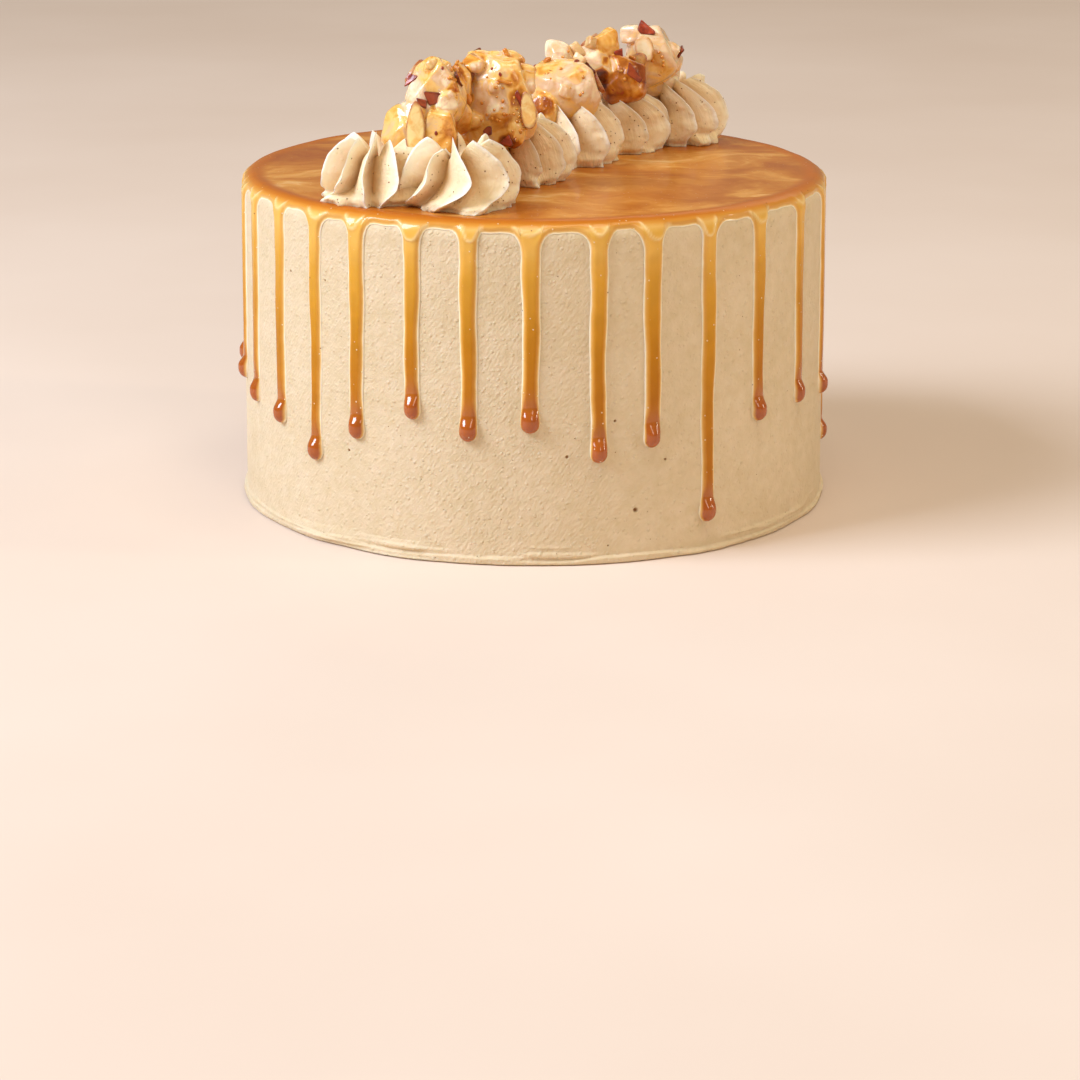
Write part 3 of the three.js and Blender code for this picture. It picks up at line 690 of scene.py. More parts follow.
    # One table of points, where cells that nothing reaches stay unused.
    rows = cap_rows + stem_rows + drop_rows
    table = {}
    for key, upper, lower in (
            ("way", way, drip_way), ("reach", reach, down), ("lift", lift, drip_lift),
            ("margin", np.clip(away / 3, 0, 1), np.clip(margin / 3, 0, 1)),
            ("run", np.zeros_like(reach), np.clip(drip_run, 0, 1)),
            ("top", np.clip(reach / 12 + 0.5, 0, 1), 1.0),
            ("wet", 0.1 * smooth(0, -5, reach) + 0.4 * smooth(1.5, 4, reach), drip_wet),
            ("lip", ridge * smooth(2.2, 3.6, reach), 0.0)):
        full = np.zeros((rows, drips, inside + between))
        full[:cap_rows] = upper.reshape(cap_rows, drips, -1)
        full[cap_rows:, :, :inside + 1] = lower
        table[key] = full.reshape(rows, columns)
    used = np.zeros((rows - 1, columns), bool)
    used[:cap_rows - 1] = True
    used[cap_rows - 1:, np.arange(columns) % (inside + between) < inside] = True

    # The front, the same grid below the frosting's surface as the back, walls between their open edges,
    # and the flat top over and under.
    points = [polar(table["way"] / scale, *on_profile(table["reach"], lift)).reshape(-1, 3)
              for lift in (table["lift"], BACK)]
    count = rows * columns
    quads = skin(rows, columns)[used.ravel()]
    faces, triangles = [quads, quads[:, ::-1] + count, edge_walls(quads, columns, count)], []
    total = 2 * count
    for side, first in ((1, 0), (-1, count)):
        more = flat_top(side, first + np.arange(columns), s / scale, total)
        for group, new in zip((points, faces, triangles), more):
            group += new
        total = sum(len(p) for p in points)
    points, faces, triangles = (np.concatenate(group) for group in (points, faces, triangles))
    on_top = {"margin": 1.0, "run": 0.0, "top": 0.0, "wet": 0.1, "lip": 0.0}
    layers = {key: np.concatenate([table[key].ravel()] * 2 + [np.full(total - 2 * count, value)])
              for key, value in on_top.items()}

    # Only points that a face uses are kept.
    kept = np.unique(np.concatenate([faces.ravel(), triangles.ravel()]))
    renumber = np.zeros(len(points), int)
    renumber[kept] = np.arange(len(kept))
    add_piece("butterscotch_glaze", points[kept], [*renumber[faces].tolist(), *renumber[triangles].tolist()],
              butterscotch(), "glaze", {key: value[kept] for key, value in layers.items()})


def edge_walls(quads, columns, count):
    """Quads from the open edges of a skin, but for its first row of points, to the same edges of its
    back, whose points come count later."""
    rim = quad_sides(quads).astype(np.int64)
    rim = rim[~np.isin(rim[:, 0] * count + rim[:, 1], rim[:, 1] * count + rim[:, 0])]
    rim = rim[~((rim[:, 0] < columns) & (rim[:, 1] < columns))]
    return np.stack([rim[:, 1], rim[:, 0], rim[:, 0] + count, rim[:, 1] + count], -1)


def flat_top(side, ring, angle, total):
    """The flat top inside a ring of points at those azimuths, as closer and closer rings that halve
    their points as they shrink. side is 1 for the face above and -1 for the one below, and total is how
    many points there are before. It returns lists of new points, quads and triangles."""
    points, quads, triangles = [], [], []
    for radius in TOP_RINGS:
        n = len(ring)
        halve = n > 90 and radius < TOP_RINGS[0]
        angle = angle[::2] if halve else angle
        where = polar(angle, radius, HEIGHT)
        z = GLAZE_TOP + 0.10 * noise(where, 17, 6) + 0.05 * noise(where, 6, 2) * (radius < 80)
        where[:, 2] = z if side > 0 else HEIGHT + BACK
        fresh = total + np.arange(len(angle))
        if halve:
            m = np.arange(n // 2)
            a, b, c = ring[2 * m], ring[2 * m + 1], ring[(2 * m + 2) % n]
            d, e = fresh[m], fresh[(m + 1) % len(fresh)]
            triangles += [np.stack(cell, -1)[:, ::-side] for cell in ((a, b, d), (b, e, d), (b, c, e))]
            if n % 2:                       # an odd number leaves one wider gap
                quads.append(np.array([[ring[-1], ring[0], fresh[0], fresh[-1]]])[:, ::-side])
        else:
            quads.append(np.stack([ring, np.roll(ring, -1), np.roll(fresh, -1), fresh], -1)[:, ::-side])
        points.append(where)
        total += len(fresh)
        ring = fresh
    points.append(np.array([[0, 0, GLAZE_TOP if side > 0 else HEIGHT + BACK]]))
    triangles.append(np.stack([ring, np.roll(ring, -1), np.full(len(ring), total)], -1)[:, ::-side])
    return points, quads, triangles


# ---------------------------------------------------------------- piped swirls

# Each swirl: centre, radius and height; crater, how deep its crown is open as a share of the height;
# hook, how many degrees a ridge leans over its groove; full, 0 where the cream between two ridges is
# scooped out and 1 where it is a rounded petal; for its eight ridges the azimuth at mid height, how far
# the foot and the tip turn from there, and how much taller the tip is; and peak, how far the grooves
# cut down into the crown.
SWIRLS = [
    dict(x=-46.5, y=-56, radius=18.2, height=19.5, crater=0.3, hook=7, full=0.15,
         mid=(-172, -130, -88, -42, -20, 16, 62, 118), foot=(-14, -16, -16, -36, 8, -14, -12, -10),
         tip=(4, 4, 8, 2, 14, 4, 4, 4), tall=(0, 0, 0, 0.5, 2.5, 0, 0, 0), peak=6.5),
    dict(x=-22, y=-65, radius=18.5, height=20.5, crater=0.3, hook=9, full=0.2,
         mid=(-170, -126, -84, -40, 5, 50, 90, 142), foot=(-26, -26, -26, -42, -37, -36, -12, -14),
         tip=(-8, -8, -8, 4, -22, -30, -26, -16), tall=(0, 0, 0, -2.5, 1.5, 0.5, 0, 0), peak=7),
    dict(x=-5.5, y=-21, radius=18.2, height=20, crater=0.3, hook=12, full=0.5,
         mid=(-162, -117, -72, -27, 14, 46, 80, 140), foot=(14, 14, 14, 14, 10, 6, 4, 6),
         tip=(-18, -18, -18, -24, -22, -22, -22, -18), tall=(0, 0, 1, 4.0, 0, 0, 0, 0), peak=6),
    dict(x=10.5, y=12, radius=18.0, height=21, crater=0.16, hook=12, full=0.8,
         mid=(-172, -124, -86, -40, 2, 36, 80, 132), foot=(10, 10, 10, 8, 4, 8, -6, 0),
         tip=(-30, -30, -30, -38, -32, -30, -36, -30), tall=(0, 0, 0, 1.5, 0, 0, 0, 0), peak=3.5),
    dict(x=27, y=37, radius=17.8, height=19, crater=0.12, hook=12, full=0.9,
         mid=(-150, -108, -56, -22, 24, 62, 94, 145), foot=(10, 10, 14, 4, 8, 0, -6, 0),
         tip=(-40, -40, -40, -40, -40, -40, -40, -40), tall=(0,) * 8, peak=3),
    dict(x=45.5, y=55, radius=18.6, height=21.5, crater=0.1, hook=12, full=0.9,
         mid=(-160, -118, -66, -34, 14, 40, 80, 140), foot=(10, 10, 14, 6, 2, 4, -8, 0),
         tip=(-44, -44, -44, -44, -44, -42, -42, -42), tall=(0,) * 8, peak=2.5),
]


def swirl(number, shape, finish):
    """Rows run up the outside, over the crown and down inside it; columns run round the ridges. A
    point's radius is the outline's at that height times 1 - depth (1 - w). w is 1 on the ridge, falls
    steeply to 0 in the groove on its right, and climbs again to the next ridge: for the share q of that
    climb it goes from q to a power, a scoop, to 1 - (1 - q) to a power, a petal, with a thin lip raised
    on the ridge. The ridge's azimuth follows its own foot, middle and tip, and w also pulls it sideways,
    so that a ridge leans over the groove. Below the ridges the first round of cream makes a low skirt."""
    groove = 0.24                                   # the groove's share of the way to the next ridge
    fall = np.linspace(0, 1, 9)[:-1] ** 1.3
    climb = (1 - np.cos(np.linspace(0, 1, 17)[:-1] * math.pi)) / 2
    place = np.concatenate([groove * fall, groove + (1 - groove) * climb])
    fin, place = np.meshgrid(np.arange(len(shape["mid"])), place, indexing="ij")
    fin, place = fin.ravel(), place.ravel()
    rows_up, rows_in = 54, 9                        # rows up the outside and down inside the crown
    v = np.concatenate([np.linspace(0, 1, rows_up) ** 1.15, np.ones(rows_in)])[:, None]
    inward = np.concatenate([np.zeros(rows_up), np.linspace(0, 1, rows_in + 1)[1:]])[:, None]

    def between(values, wrap=0):
        """A number given for each ridge, carried over to the next one."""
        values = np.array(values, float)
        following = np.roll(values, -1)
        following[-1] += wrap
        return mix(values[fin], following[fin], place)[None]

    mid, foot, tip = between(shape["mid"], 360), between(shape["foot"]), between(shape["tip"])
    down, q = np.clip(place / groove, 0, 1), np.clip((place - groove) / (1 - groove), 0, 1)
    w = np.where(place < groove, (1 - down) ** 1.4, mix(q ** 1.45, 1 - (1 - q) ** 1.7, shape["full"]))
    line = np.where(place < groove, np.exp(-(down / 0.35) ** 2), np.exp(-((1 - q) / 0.07) ** 2))
    thin_lip = mix(0.07, 0.15, shape["full"]) * line
    w = w[None] + 0 * v
    lean = foot * np.clip(1 - v / 0.38, 0, 1) ** 1.6 + tip * np.clip((v - 0.38) / 0.62, 0, 1) ** 1.5
    lean = lean + shape["hook"] * w ** 2.2 * smooth(0.04, 0.25, v) * (1 - 0.5 * v)
    azimuth = np.radians(mid + lean)

    steepest = math.radians(70)
    rise = steepest * v
    around = np.stack([np.cos(azimuth) * 6, np.sin(azimuth) * 6, 0 * azimuth], -1)
    skirt = 0.12 + 0.05 * noise(around, 3.0, number * 2.3)
    shown = smooth(-0.1, 0.5, noise(around, 3.6, number * 1.7))
    tuck = 1 - 0.10 * shown * np.exp(-((v - skirt) / 0.045) ** 2) - 0.11 * (1 - shown) * smooth(0.24, 0.0, v)
    edge = shape["radius"] * (tuck - 0.03 * smooth(0.1, 0, v)) * np.cos(rise) ** 0.66
    z = shape["height"] * np.sin(rise) / math.sin(steepest)
    depth = mix(0.40, 0.60, smooth(0.05, 0.9, v))
    depth = mix(mix(0.22, 0.08, shown), depth, smooth(skirt - 0.06, skirt + 0.07, v))
    radius = edge * (1 - depth * (1 - w - thin_lip[None] * smooth(0.1, 0.3, v)))
    around[..., 2] = z * 0.5
    seed = number * 3.1
    radius = radius * (1 + 0.040 * noise(around, 2.6, seed) + 0.014 * noise(around, 0.9, seed + 1))
    ragged = smooth(0.075, 0.02, v)
    radius = radius + ragged * (0.9 * noise(around, 1.3, seed + 2) + 0.6 * noise(around, 0.5, seed))
    crown = smooth(0.55, 1, v)
    tall = between(shape["tall"]) * w ** 3
    z = z - shape["peak"] * crown * (1 - w) + crown ** 2 * tall
    z = z + 0.25 * noise(around, 1.5, seed + 4) * smooth(0.6, 1, v)

    # Over the crown and down inside it.
    floor = shape["height"] * (1 - shape["crater"]) - 3
    radius = radius * mix(1, 0.06, inward ** 0.9)
    z = mix(z, floor, smooth(0, 1, inward) ** 0.8)
    x, y, base = shape["x"], shape["y"], GLAZE_TOP + 0.05
    points = np.stack([x + radius * np.sin(azimuth), y - radius * np.cos(azimuth),
                       base + np.maximum(z, 0) + 0 * azimuth], -1)
    points, faces = closed(points, (x, y, base), (x, y, GLAZE_TOP + floor))
    full = np.broadcast_to(w, radius.shape)
    # Two layers for the finish: a painted highlight along the ridges and their raised lips, and painted shade
    # in the grooves and down inside the crown.
    painted_ridge_highlight = np.maximum(mix(0.85, 0.25, shape["full"]) * full ** 9, 0.9 * line) * (1 - 0.5 * inward)
    hollow = (1 - full) ** mix(2.0, 0.9, shape["full"]) * smooth(0.0, 0.3, v) * 0.8 + 0.5 * inward
    layers = {"edge": with_poles(painted_ridge_highlight), "hollow": with_poles(np.clip(hollow, 0, 1))}
    ridge_apart = 14 / MM
    uv = np.stack(np.broadcast_arrays(place * ridge_apart, v * shape["height"] / MM, radius)[:2], -1)
    add_piece(f"piped_swirl_{number}", points, faces, finish, f"swirl_{number}", layers,
              with_poles(uv))


# ---------------------------------------------------------------- lines of sight

EYE = (1.49, -1050.9, 288.95)
PITCH, ROLL, FOCAL = math.radians(16.36), math.radians(0.11), 3333.8   # focal length in pixels
FRAME = 1080        # width and height of the picture in pixels
TO_CAKE = 1050      # about the way from the camera to the middle of the cake


def sight(x, y):
    """Direction from the camera through a point of the 1080 x 1080 picture."""
    right, down = x - FRAME / 2, y - FRAME / 2
    right, down = (math.cos(ROLL) * right + math.sin(ROLL) * down,
                   -math.sin(ROLL) * right + math.cos(ROLL) * down)
    direction = Vector((right / FOCAL, math.cos(PITCH) - math.sin(PITCH) * down / FOCAL,
                        -math.sin(PITCH) - math.cos(PITCH) * down / FOCAL))
    return direction.normalized()


# ---------------------------------------------------------------- nut brittle

# The lumps of each cluster, as in the solids: centre, half sizes, turn in degrees about X, Y and Z,
# how boxy (2 is an ellipsoid), and the tint of its surface, from 0 for deep syrup to 1 for bare nut.
CLUSTERS = [
    [((-36, -50, 125.5), (9.6, 9, 9.5), (0, 24, 10), 2.8, 0.62),
     ((-29, -48, 136), (8.8, 8, 9.6), (0, 12, 0), 3.6, 0.72),
     ((-28, -56.5, 124.6), (5.8, 4.6, 6.8), (0, 0, -12), 6, 0.56),
     ((-26, -55.6, 134), (3.1, 2.8, 3.3), (10, 14, 15), 6, 0.98),
     ((-30.8, -51.5, 143.6), (2.7, 2.2, 2.0), (0, 10, 0), 3, 0.6),
     ((-27.2, -50, 143.6), (2.4, 2.2, 2.2), (0, 0, 0), 2.6, 0.84),
     ((-22.8, -41.5, 137), (3.9, 4, 7.0), (0, 0, 0), 2.4, 0.36),
     ((-22, -43, 127), (3.6, 4, 5.6), (0, 0, 0), 2.4, 0.5)],
    [((-14, -34, 113.5), (7.5, 6.5, 10.5), (0, 0, -10), 2.8, 0.54),
     ((-11.6, -35.5, 131), (12.4, 9.5, 14.2), (0, -4, 8), 4.5, 0.68),
     ((-8.5, -34, 143.4), (5, 3.8, 2.8), (0, 18, 25), 4, 0.55),
     ((-18.6, -38, 142.8), (3.8, 4, 2.6), (0, 14, 0), 3.4, 0.5),
     ((-10.6, -43.6, 129.6), (4.6, 2.8, 4.0), (0, 20, 0), 2.8, 0.93),
     ((-18.8, -43, 126), (3.9, 2.6, 2.3), (0, -8, 0), 2.4, 0.6),
     ((-7, -42, 122.4), (4.8, 4, 5.0), (0, 0, 0), 3, 0.57),
     ((-3.2, -38, 141), (3.6, 3, 1.6), (0, 14, 0), 2.6, 0.4),
     ((-2.4, -40, 137.4), (3.2, 3, 3.3), (0, 12, 0), 6, 0.97),
     ((-12.1, -44.6, 136.2), (2.1, 1.7, 2.1), (0, 0, 0), 2, 0.42),
     ((-11.6, -35, 144.4), (2.0, 1.8, 1.7), (0, 25, 0), 4, 0.92),
     ((-8.6, -35, 144.9), (1.5, 1.5, 1.4), (0, -15, 0), 4, 0.88)],
    [((10.5, 10, 128), (11.4, 10, 9.8), (0, 12, 0), 2.7, 0.77),
     ((3, 3, 121.5), (4.4, 4.4, 5.5), (0, 0, 0), 2.7, 0.62),
     ((8.2, 18, 138.6), (4.8, 3.6, 3.0), (0, 8, 10), 6, 0.97),
     ((10.1, 0.2, 128.2), (2.4, 1.4, 2.3), (0, 24, 0), 5, 0.5)],
    [((28.5, 31, 127.8), (7.8, 7.5, 8), (0, -10, 0), 3.4, 0.28),
     ((18.4, 28.5, 133.2), (6.4, 4.4, 4.4), (0, 30, 12), 6, 0.9),
     ((23.3, 33, 138.2), (4.8, 4.6, 4.8), (0, -24, 18), 5, 0.58),
     ((31.6, 24.6, 130.2), (2.4, 2.2, 3.2), (0, -20, 0), 2.8, 0.45)],
    [((40, 50, 125.2), (7.4, 6.8, 6), (0, 0, 0), 2.6, 0.83),
     ((37.8, 47, 133.5), (8.4, 7.8, 9.2), (0, -14, 10), 3.2, 0.84),
     ((33, 46.5, 140.6), (5.4, 4.4, 3), (0, -12, 10), 4, 0.86),
     ((44.4, 47.5, 135.4), (3.6, 3, 2.4), (0, 24, 0), 6, 0.95),
     ((46.6, 48.5, 130.8), (2.2, 2.6, 2.8), (0, 20, 0), 6, 0.92)],
]

# Where the film changes: picture x and y, radius in mm, tint.
SPLASHES = {
    1: [(446, 78, 3.2, 0.86), (430, 58, 2.2, 0.5), (412, 90, 5.5, 0.90), (394, 112, 3.5, 0.55),
        (402, 132, 3.5, 0.66), (450, 143, 3.5, 0.44), (457, 70, 3.5, 0.38), (458, 84, 2.5, 0.36),
        (440, 118, 3.0, 0.64)],
    2: [(470, 78, 3.2, 0.36), (466, 62, 3.5, 0.42), (480, 72, 2.8, 0.88), (492, 66, 3.0, 0.74),
        (520, 98, 3.4, 0.38), (512, 78, 3.0, 0.42), (498, 108, 4.0, 0.93), (480, 106, 3.0, 0.82),
        (483, 92, 4.0, 0.82), (497, 92, 3.0, 0.76), (516, 126, 5.0, 0.58), (470, 120, 3.0, 0.6),
        (511, 146, 3.4, 0.16), (466, 100, 3.0, 0.42), (480, 56, 3.5, 0.5), (500, 122, 3.0, 0.45),
        (506, 68, 3.0, 0.74)],
    3: [(548, 64, 5.0, 0.6), (560, 86, 5.0, 0.84), (600, 84, 3.0, 0.42), (545, 106, 3.5, 0.26),
        (580, 76, 3.0, 0.52), (588, 90, 3.5, 0.84), (566, 70, 3.5, 0.76)],
    4: [(602, 80, 3.5, 0.08), (600, 92, 3.0, 0.12), (620, 80, 3.5, 0.34), (636, 86, 3.5, 0.46),
        (627, 62, 3.0, 0.36), (608, 42, 4.0, 0.56), (590, 60, 4.0, 0.88)],
    5: [(632, 33, 5.0, 0.88), (655, 66, 4.5, 0.62), (640, 74, 3.5, 0.72), (666, 72, 3.5, 0.7)],
}


def turned(degrees):
    """The matrix that turns about X, then Y, then Z."""
    a, b, c = np.radians(degrees)
    about_x = np.array([[1, 0, 0], [0, math.cos(a), -math.sin(a)], [0, math.sin(a), math.cos(a)]])
    about_y = np.array([[math.cos(b), 0, math.sin(b)], [0, 1, 0], [-math.sin(b), 0, math.cos(b)]])
    about_z = np.array([[math.cos(c), -math.sin(c), 0], [math.sin(c), math.cos(c), 0], [0, 0, 1]])
    return about_z @ about_y @ about_x


def lump(at, size, turn, square):
    """A ball's directions scaled to the superellipsoid of that squareness, then swollen by slow waves."""
    d, faces = ball(28, 44)
    norm = (np.abs(d) ** square).sum(-1) ** (1 / square)
    seed = at[0] * 0.7 + at[1] * 0.3
    wave = 1 + 0.07 * np.sin(3.1 * d[:, 0] + seed) * np.cos(2.7 * d[:, 2] + seed)
    wave = wave + 0.05 * np.sin(4.3 * d[:, 1] - seed)
    return (d * np.array(size) * (wave / norm)[:, None]) @ turned(turn).T + np.array(at), faces


def bits(points, size, seed):
    """Cells round jittered lattice points: how much further the next one is than the nearest one, a
    number of its own for the nearest one, and the height over a tilted plane through it. Lengths are in
    cells of that size."""
    place = points / size + seed * 5.3
    cell = np.floor(place)
    best, second = np.full((2, len(points)), 9.0)
    own, tilted = np.zeros((2, len(points)))
    for corner in product((-1, 0, 1), repeat=3):
        at = cell + corner
        spots = hashed(np.sin(at @ np.array([[127.1, 269.5, 113.5], [311.7, 183.3, 271.9],
                                             [74.7, 246.1, 124.6]]) + seed))
        apart = place - (at + 0.5 + 0.8 * (spots - 0.5))
        away = np.linalg.norm(apart, axis=-1)
        nearer = away < best
        second = np.where(nearer, best, np.minimum(second, away))
        own = np.where(nearer, spots[:, 0], own)
        tilted = np.where(nearer, (apart * (spots[:, [1, 2, 0]] * 2 - 1)).sum(-1), tilted)
        best = np.where(nearer, away, best)
    return second - best, own, tilted


def remeshed(points, faces, voxel, rounds):
    """One even skin of quads over overlapping closed shells, with its creases rounded off."""
    mesh = bpy.data.meshes.new("lumps")
    mesh.from_pydata((points / MM).tolist(), [], faces)
    shell = put("lumps", mesh)
    joined = shell.modifiers.new("join", "REMESH")
    joined.mode, joined.voxel_size = "VOXEL", voxel / MM
    softened = shell.modifiers.new("soften", "SMOOTH")
    softened.factor, softened.iterations = 0.5, rounds
    done = bpy.data.meshes.new_from_object(shell.evaluated_get(bpy.context.evaluated_depsgraph_get()))
    place, normal = field(done.vertices, "co", width=3), field(done.vertices, "normal", width=3)
    quads = field(done.loops, "vertex_index", np.int32).reshape(-1, 4)
    bpy.data.objects.remove(shell)
    bpy.data.meshes.remove(mesh)
    bpy.data.meshes.remove(done)
    return place * MM, normal, quads


def planed(points, planes, away):
    """Points pushed back to planes that face those ways at that distance from the origin."""
    for plane in planes / np.linalg.norm(planes, axis=1)[:, None]:
        points = points - np.maximum(points @ plane - away, 0)[:, None] * plane
    return points


def cut_back(points, at, size, seed):
    """Pushes a lump's surface back to a few flat planes that face up or sideways, as broken nuts have."""
    planes = np.random.default_rng(seed).normal(size=(7, 3))
    planes[:, 2] = np.abs(planes[:, 2]) * 0.8
    return planed((points - at) / size, planes, 0.84) * size + at


def bends(points, quads, rounds):
    """The way to each point, in mm, from where it comes to lie when it is moved to the middle of its
    neighbours for a few rounds: outwards on a ridge, inwards in a crease."""
    pairs = quad_sides(quads)

    def middle(values):
        total, count = np.zeros_like(values), np.zeros((len(values), 1))
        for one, other in ((0, 1), (1, 0)):
            np.add.at(total, pairs[:, one], values[pairs[:, other]])
            np.add.at(count, pairs[:, one], 1)
        return total / count

    even = points
    for _ in range(rounds):
        even = middle(even)
    return points - even


# How broken the surface of each cluster is, from 0, smooth under its film, to 1, all split faces.
BROKEN = {1: 0.5, 2: 0.45, 3: 0.1, 4: 0.15, 5: 0.3}


def coat(number, lumps, finish):
    """The cluster's lumps under one skin with rounded creases and soft dents. Where the nuts are split
    it steps along its normal by tilted cells, and by smaller ones in drifts, with syrup in the seams
    between them. Each point takes the tint of the lump that it lies on, and then of the splashes near
    it. Returns the skin as a tree to shoot rays at."""
    points, faces, start = [], [], 0
    for k, (at, size, turn, square, _) in enumerate(lumps):
        more, cells = lump(at, size, turn, square)
        points.append(cut_back(more, np.array(at), np.array(size), 10 * number + k))
        faces += [[c + start for c in face] for face in cells]
        start += len(more)
    place, normal, quads = remeshed(np.concatenate(points), faces, voxel=0.42, rounds=4)
    large, small, deepest = 7.5, 3.6, 1.4           # mm across broken faces and chips, and their depth
    sway = 1.2 * np.stack([noise(place, 6, k) for k in (1, 2, 3)], -1)
    margin, own, tilted = bits(place + sway, large, number)
    small_margin, small_own, small_tilted = bits(place + sway * 0.5, small, number + 9)
    split = BROKEN[number]
    swell = (0.6 * (own - 0.5) + 0.9 * tilted) * smooth(0.0, 0.30, margin)
    chips = smooth(0.0, 0.4, noise(place, 8, number + 3))
    swell = swell + chips * (0.4 * (small_own - 0.4) + 0.3 * small_tilted) * smooth(0.0, 0.4, small_margin)
    swell = 0.5 * rough(place, 8.0, number, 2) + split * swell
    place = place + normal * np.clip(swell, -deepest, deepest)[:, None]
    place[:, 2] = np.maximum(place[:, 2], REST)
    bend = (bends(place, quads, 6) * normal).sum(-1)
    share = []
    for at, size, turn, *_ in lumps:
        off = np.abs((np.abs((place - at) @ turned(turn) / size) ** 4).sum(-1) ** 0.25 - 1)
        share.append(1 / (0.04 + off) ** 3)
    tint = (np.stack(share) * np.array([t for *_, t in lumps])[:, None]).sum(0) / np.stack(share).sum(0)
    tint = tint + split * (0.22 * (own - 0.5) + 0.24 * chips * (small_own - 0.5))
    seam = np.maximum(smooth(0.06, 0.0, margin), 0.5 * chips * smooth(0.09, 0.0, small_margin))
    seam = seam * split * smooth(-0.1, 0.3, noise(place, 4, number + 6))
    quads = quads.tolist()
    tree = BVHTree.FromPolygons([Vector(p) for p in place.tolist()], quads)
    for x, y, radius, value in SPLASHES[number]:
        hit = tree.ray_cast(Vector(EYE), sight(x, y))[0]
        if hit is not None:
            away = np.linalg.norm(place - np.array(hit), axis=-1) + 0.9 * noise(place, 2.5, x)
            tint = mix(tint, value, smooth(radius * 1.25, radius * 0.75, away))
    add_piece(f"brittle_coat_{number}", place, quads, finish, f"brittle_{number}",
              {"tint": np.clip(tint, 0, 1), "ridge": smooth(0.12, 0.34, bend) * 0.4,
               "crease": np.maximum(smooth(-0.05, -0.25, bend) * 0.7, seam * 0.8)})
    return tree


# ---------------------------------------------------------------- camera, lights and floor

def stage():
    """A pale floor, a broad soft light from the left, weaker ones from above, in front and behind, a
    narrow one from the right that draws bright bars on the drips, and a pale surround."""
    lens = bpy.data.cameras.new("camera")
    lens.sensor_width, lens.lens = 36, FOCAL * 36 / FRAME
    lens.clip_start, lens.clip_end = 0.05, 50
    camera = put("camera", lens)
    camera.location = Vector(EYE) / MM
    camera.rotation_euler = (math.pi / 2 - PITCH, -ROLL, 0)
    bpy.context.scene.camera = camera

    half, under = 9.0, -0.0004
    mesh = bpy.data.meshes.new("floor")
    mesh.from_pydata([(x * half, y * half, under) for x, y in ((-1, -1), (1, -1), (1, 1), (-1, 1))], [],
                     [(0, 1, 2, 3)])
    finish, tree, shader = new_finish("pale_floor")
    place = add_node(tree, "TexCoord").outputs["Object"]
    cloud = add_node(tree, "TexNoise", inputs={"Vector": place, "Scale": 3.0, "Detail": 4.0})
    colour = add_node(tree, "ValToRGB", {"stops": [(0.3, "d8c3b2"), (0.7, "e1cebf")]}, {"Fac": cloud})
    connect(tree, shader, {"Base Color": colour, "Roughness": 0.7})
    mesh.materials.append(finish)
    floor = put("floor", mesh)

    lights = [
        # name, place, size across and up, power, colour
        ("key", (-1.40, -0.56, 1.28), (0.9, 0.9), 49, "dceaff"),
        ("bars", (1.35, -0.25, 0.50), (0.09, 0.60), 3.8, "fff4e0"),
        ("fill", (0.30, -0.50, 2.25), (1.3, 0.9), 18, "fff5e0"),
        ("front", (0.60, -1.60, 1.05), (0.4, 0.9), 4.6, "fff2e4"),
        ("back", (0.5, 1.7, 1.4), (1.4, 0.8), 5, "fff0dc"),
    ]
    for name, where, (across, up), power, tint in lights:
        lamp = bpy.data.lights.new(name, "AREA")
        lamp.shape, lamp.size, lamp.size_y = "RECTANGLE", across, up
        lamp.energy, lamp.color = power, linear(tint)[:3]
        source = put(name, lamp)
        source.location = where
        aim = Vector((0, 0, 0.07)) - Vector(where)
        source.rotation_euler = aim.to_track_quat("-Z", "Y").to_euler()
    world = bpy.data.worlds.new("surround")
    world.use_nodes = True
    connect(world.node_tree, world.node_tree.nodes["Background"],
            {"Color": linear("fff0d8"), "Strength": 0.30})
    bpy.context.scene.world = world
    bpy.context.scene.view_settings.view_transform = "Standard"


# ---------------------------------------------------------------- details on the brittle

ALMOND = nut("sliced_almond", "ffe09c", "f3c06c", "9c4412", 0.3)
PALE_NUT = nut("cut_almond", "ffeac2", "f4d49a", "c98a44", 0.35)
SKIN = nut("almond_skin", "9c3f12", "74290a", "642207", 0.3)
RUST = nut("wet_skin", "b03c0c", "842608", "762206", 0.3)
SYRUP = nut("syrup_drop", "e0983e", "cc7c26", "b8641a", 0.08)


def disc(blunt):
    """A ball's directions pressed to a flat disc of radius and half height 1, whose section is a
    superellipse of that power: how far out, which way and how high each point is, and the faces."""
    directions, faces = ball(18, 40)
    along, across, up = np.moveaxis(directions, -1, 0)
    flat = np.hypot(along, across)
    norm = (flat ** blunt + np.abs(up) ** blunt) ** (1 / blunt)
    return np.clip(flat / norm, 0, 1), np.arctan2(across, along), up / norm, faces


def slice_shape(length, width, thick):
    """An almond slice in its own plane, lying along X: the half width is the sine of the way along it to
    a power, blunt at one end and pointed at the other, and the face is flat with a round rim."""
    out, direction, height, faces = disc(6)
    outline = (1 - 0.16 * np.cos(direction) ** 3) * (1 + 0.04 * np.sin(3 * direction + 1))
    radius = out * outline
    x = radius * np.cos(direction) * length / 2
    y = radius * np.sin(direction) * width / 2 * (1 - 0.22 * np.cos(direction))
    z = height * thick / 2 + 0.05 * length * (x / (length / 2)) ** 2
    return np.stack([x, y, z], -1), faces, smooth(0.84, 0.97, out)


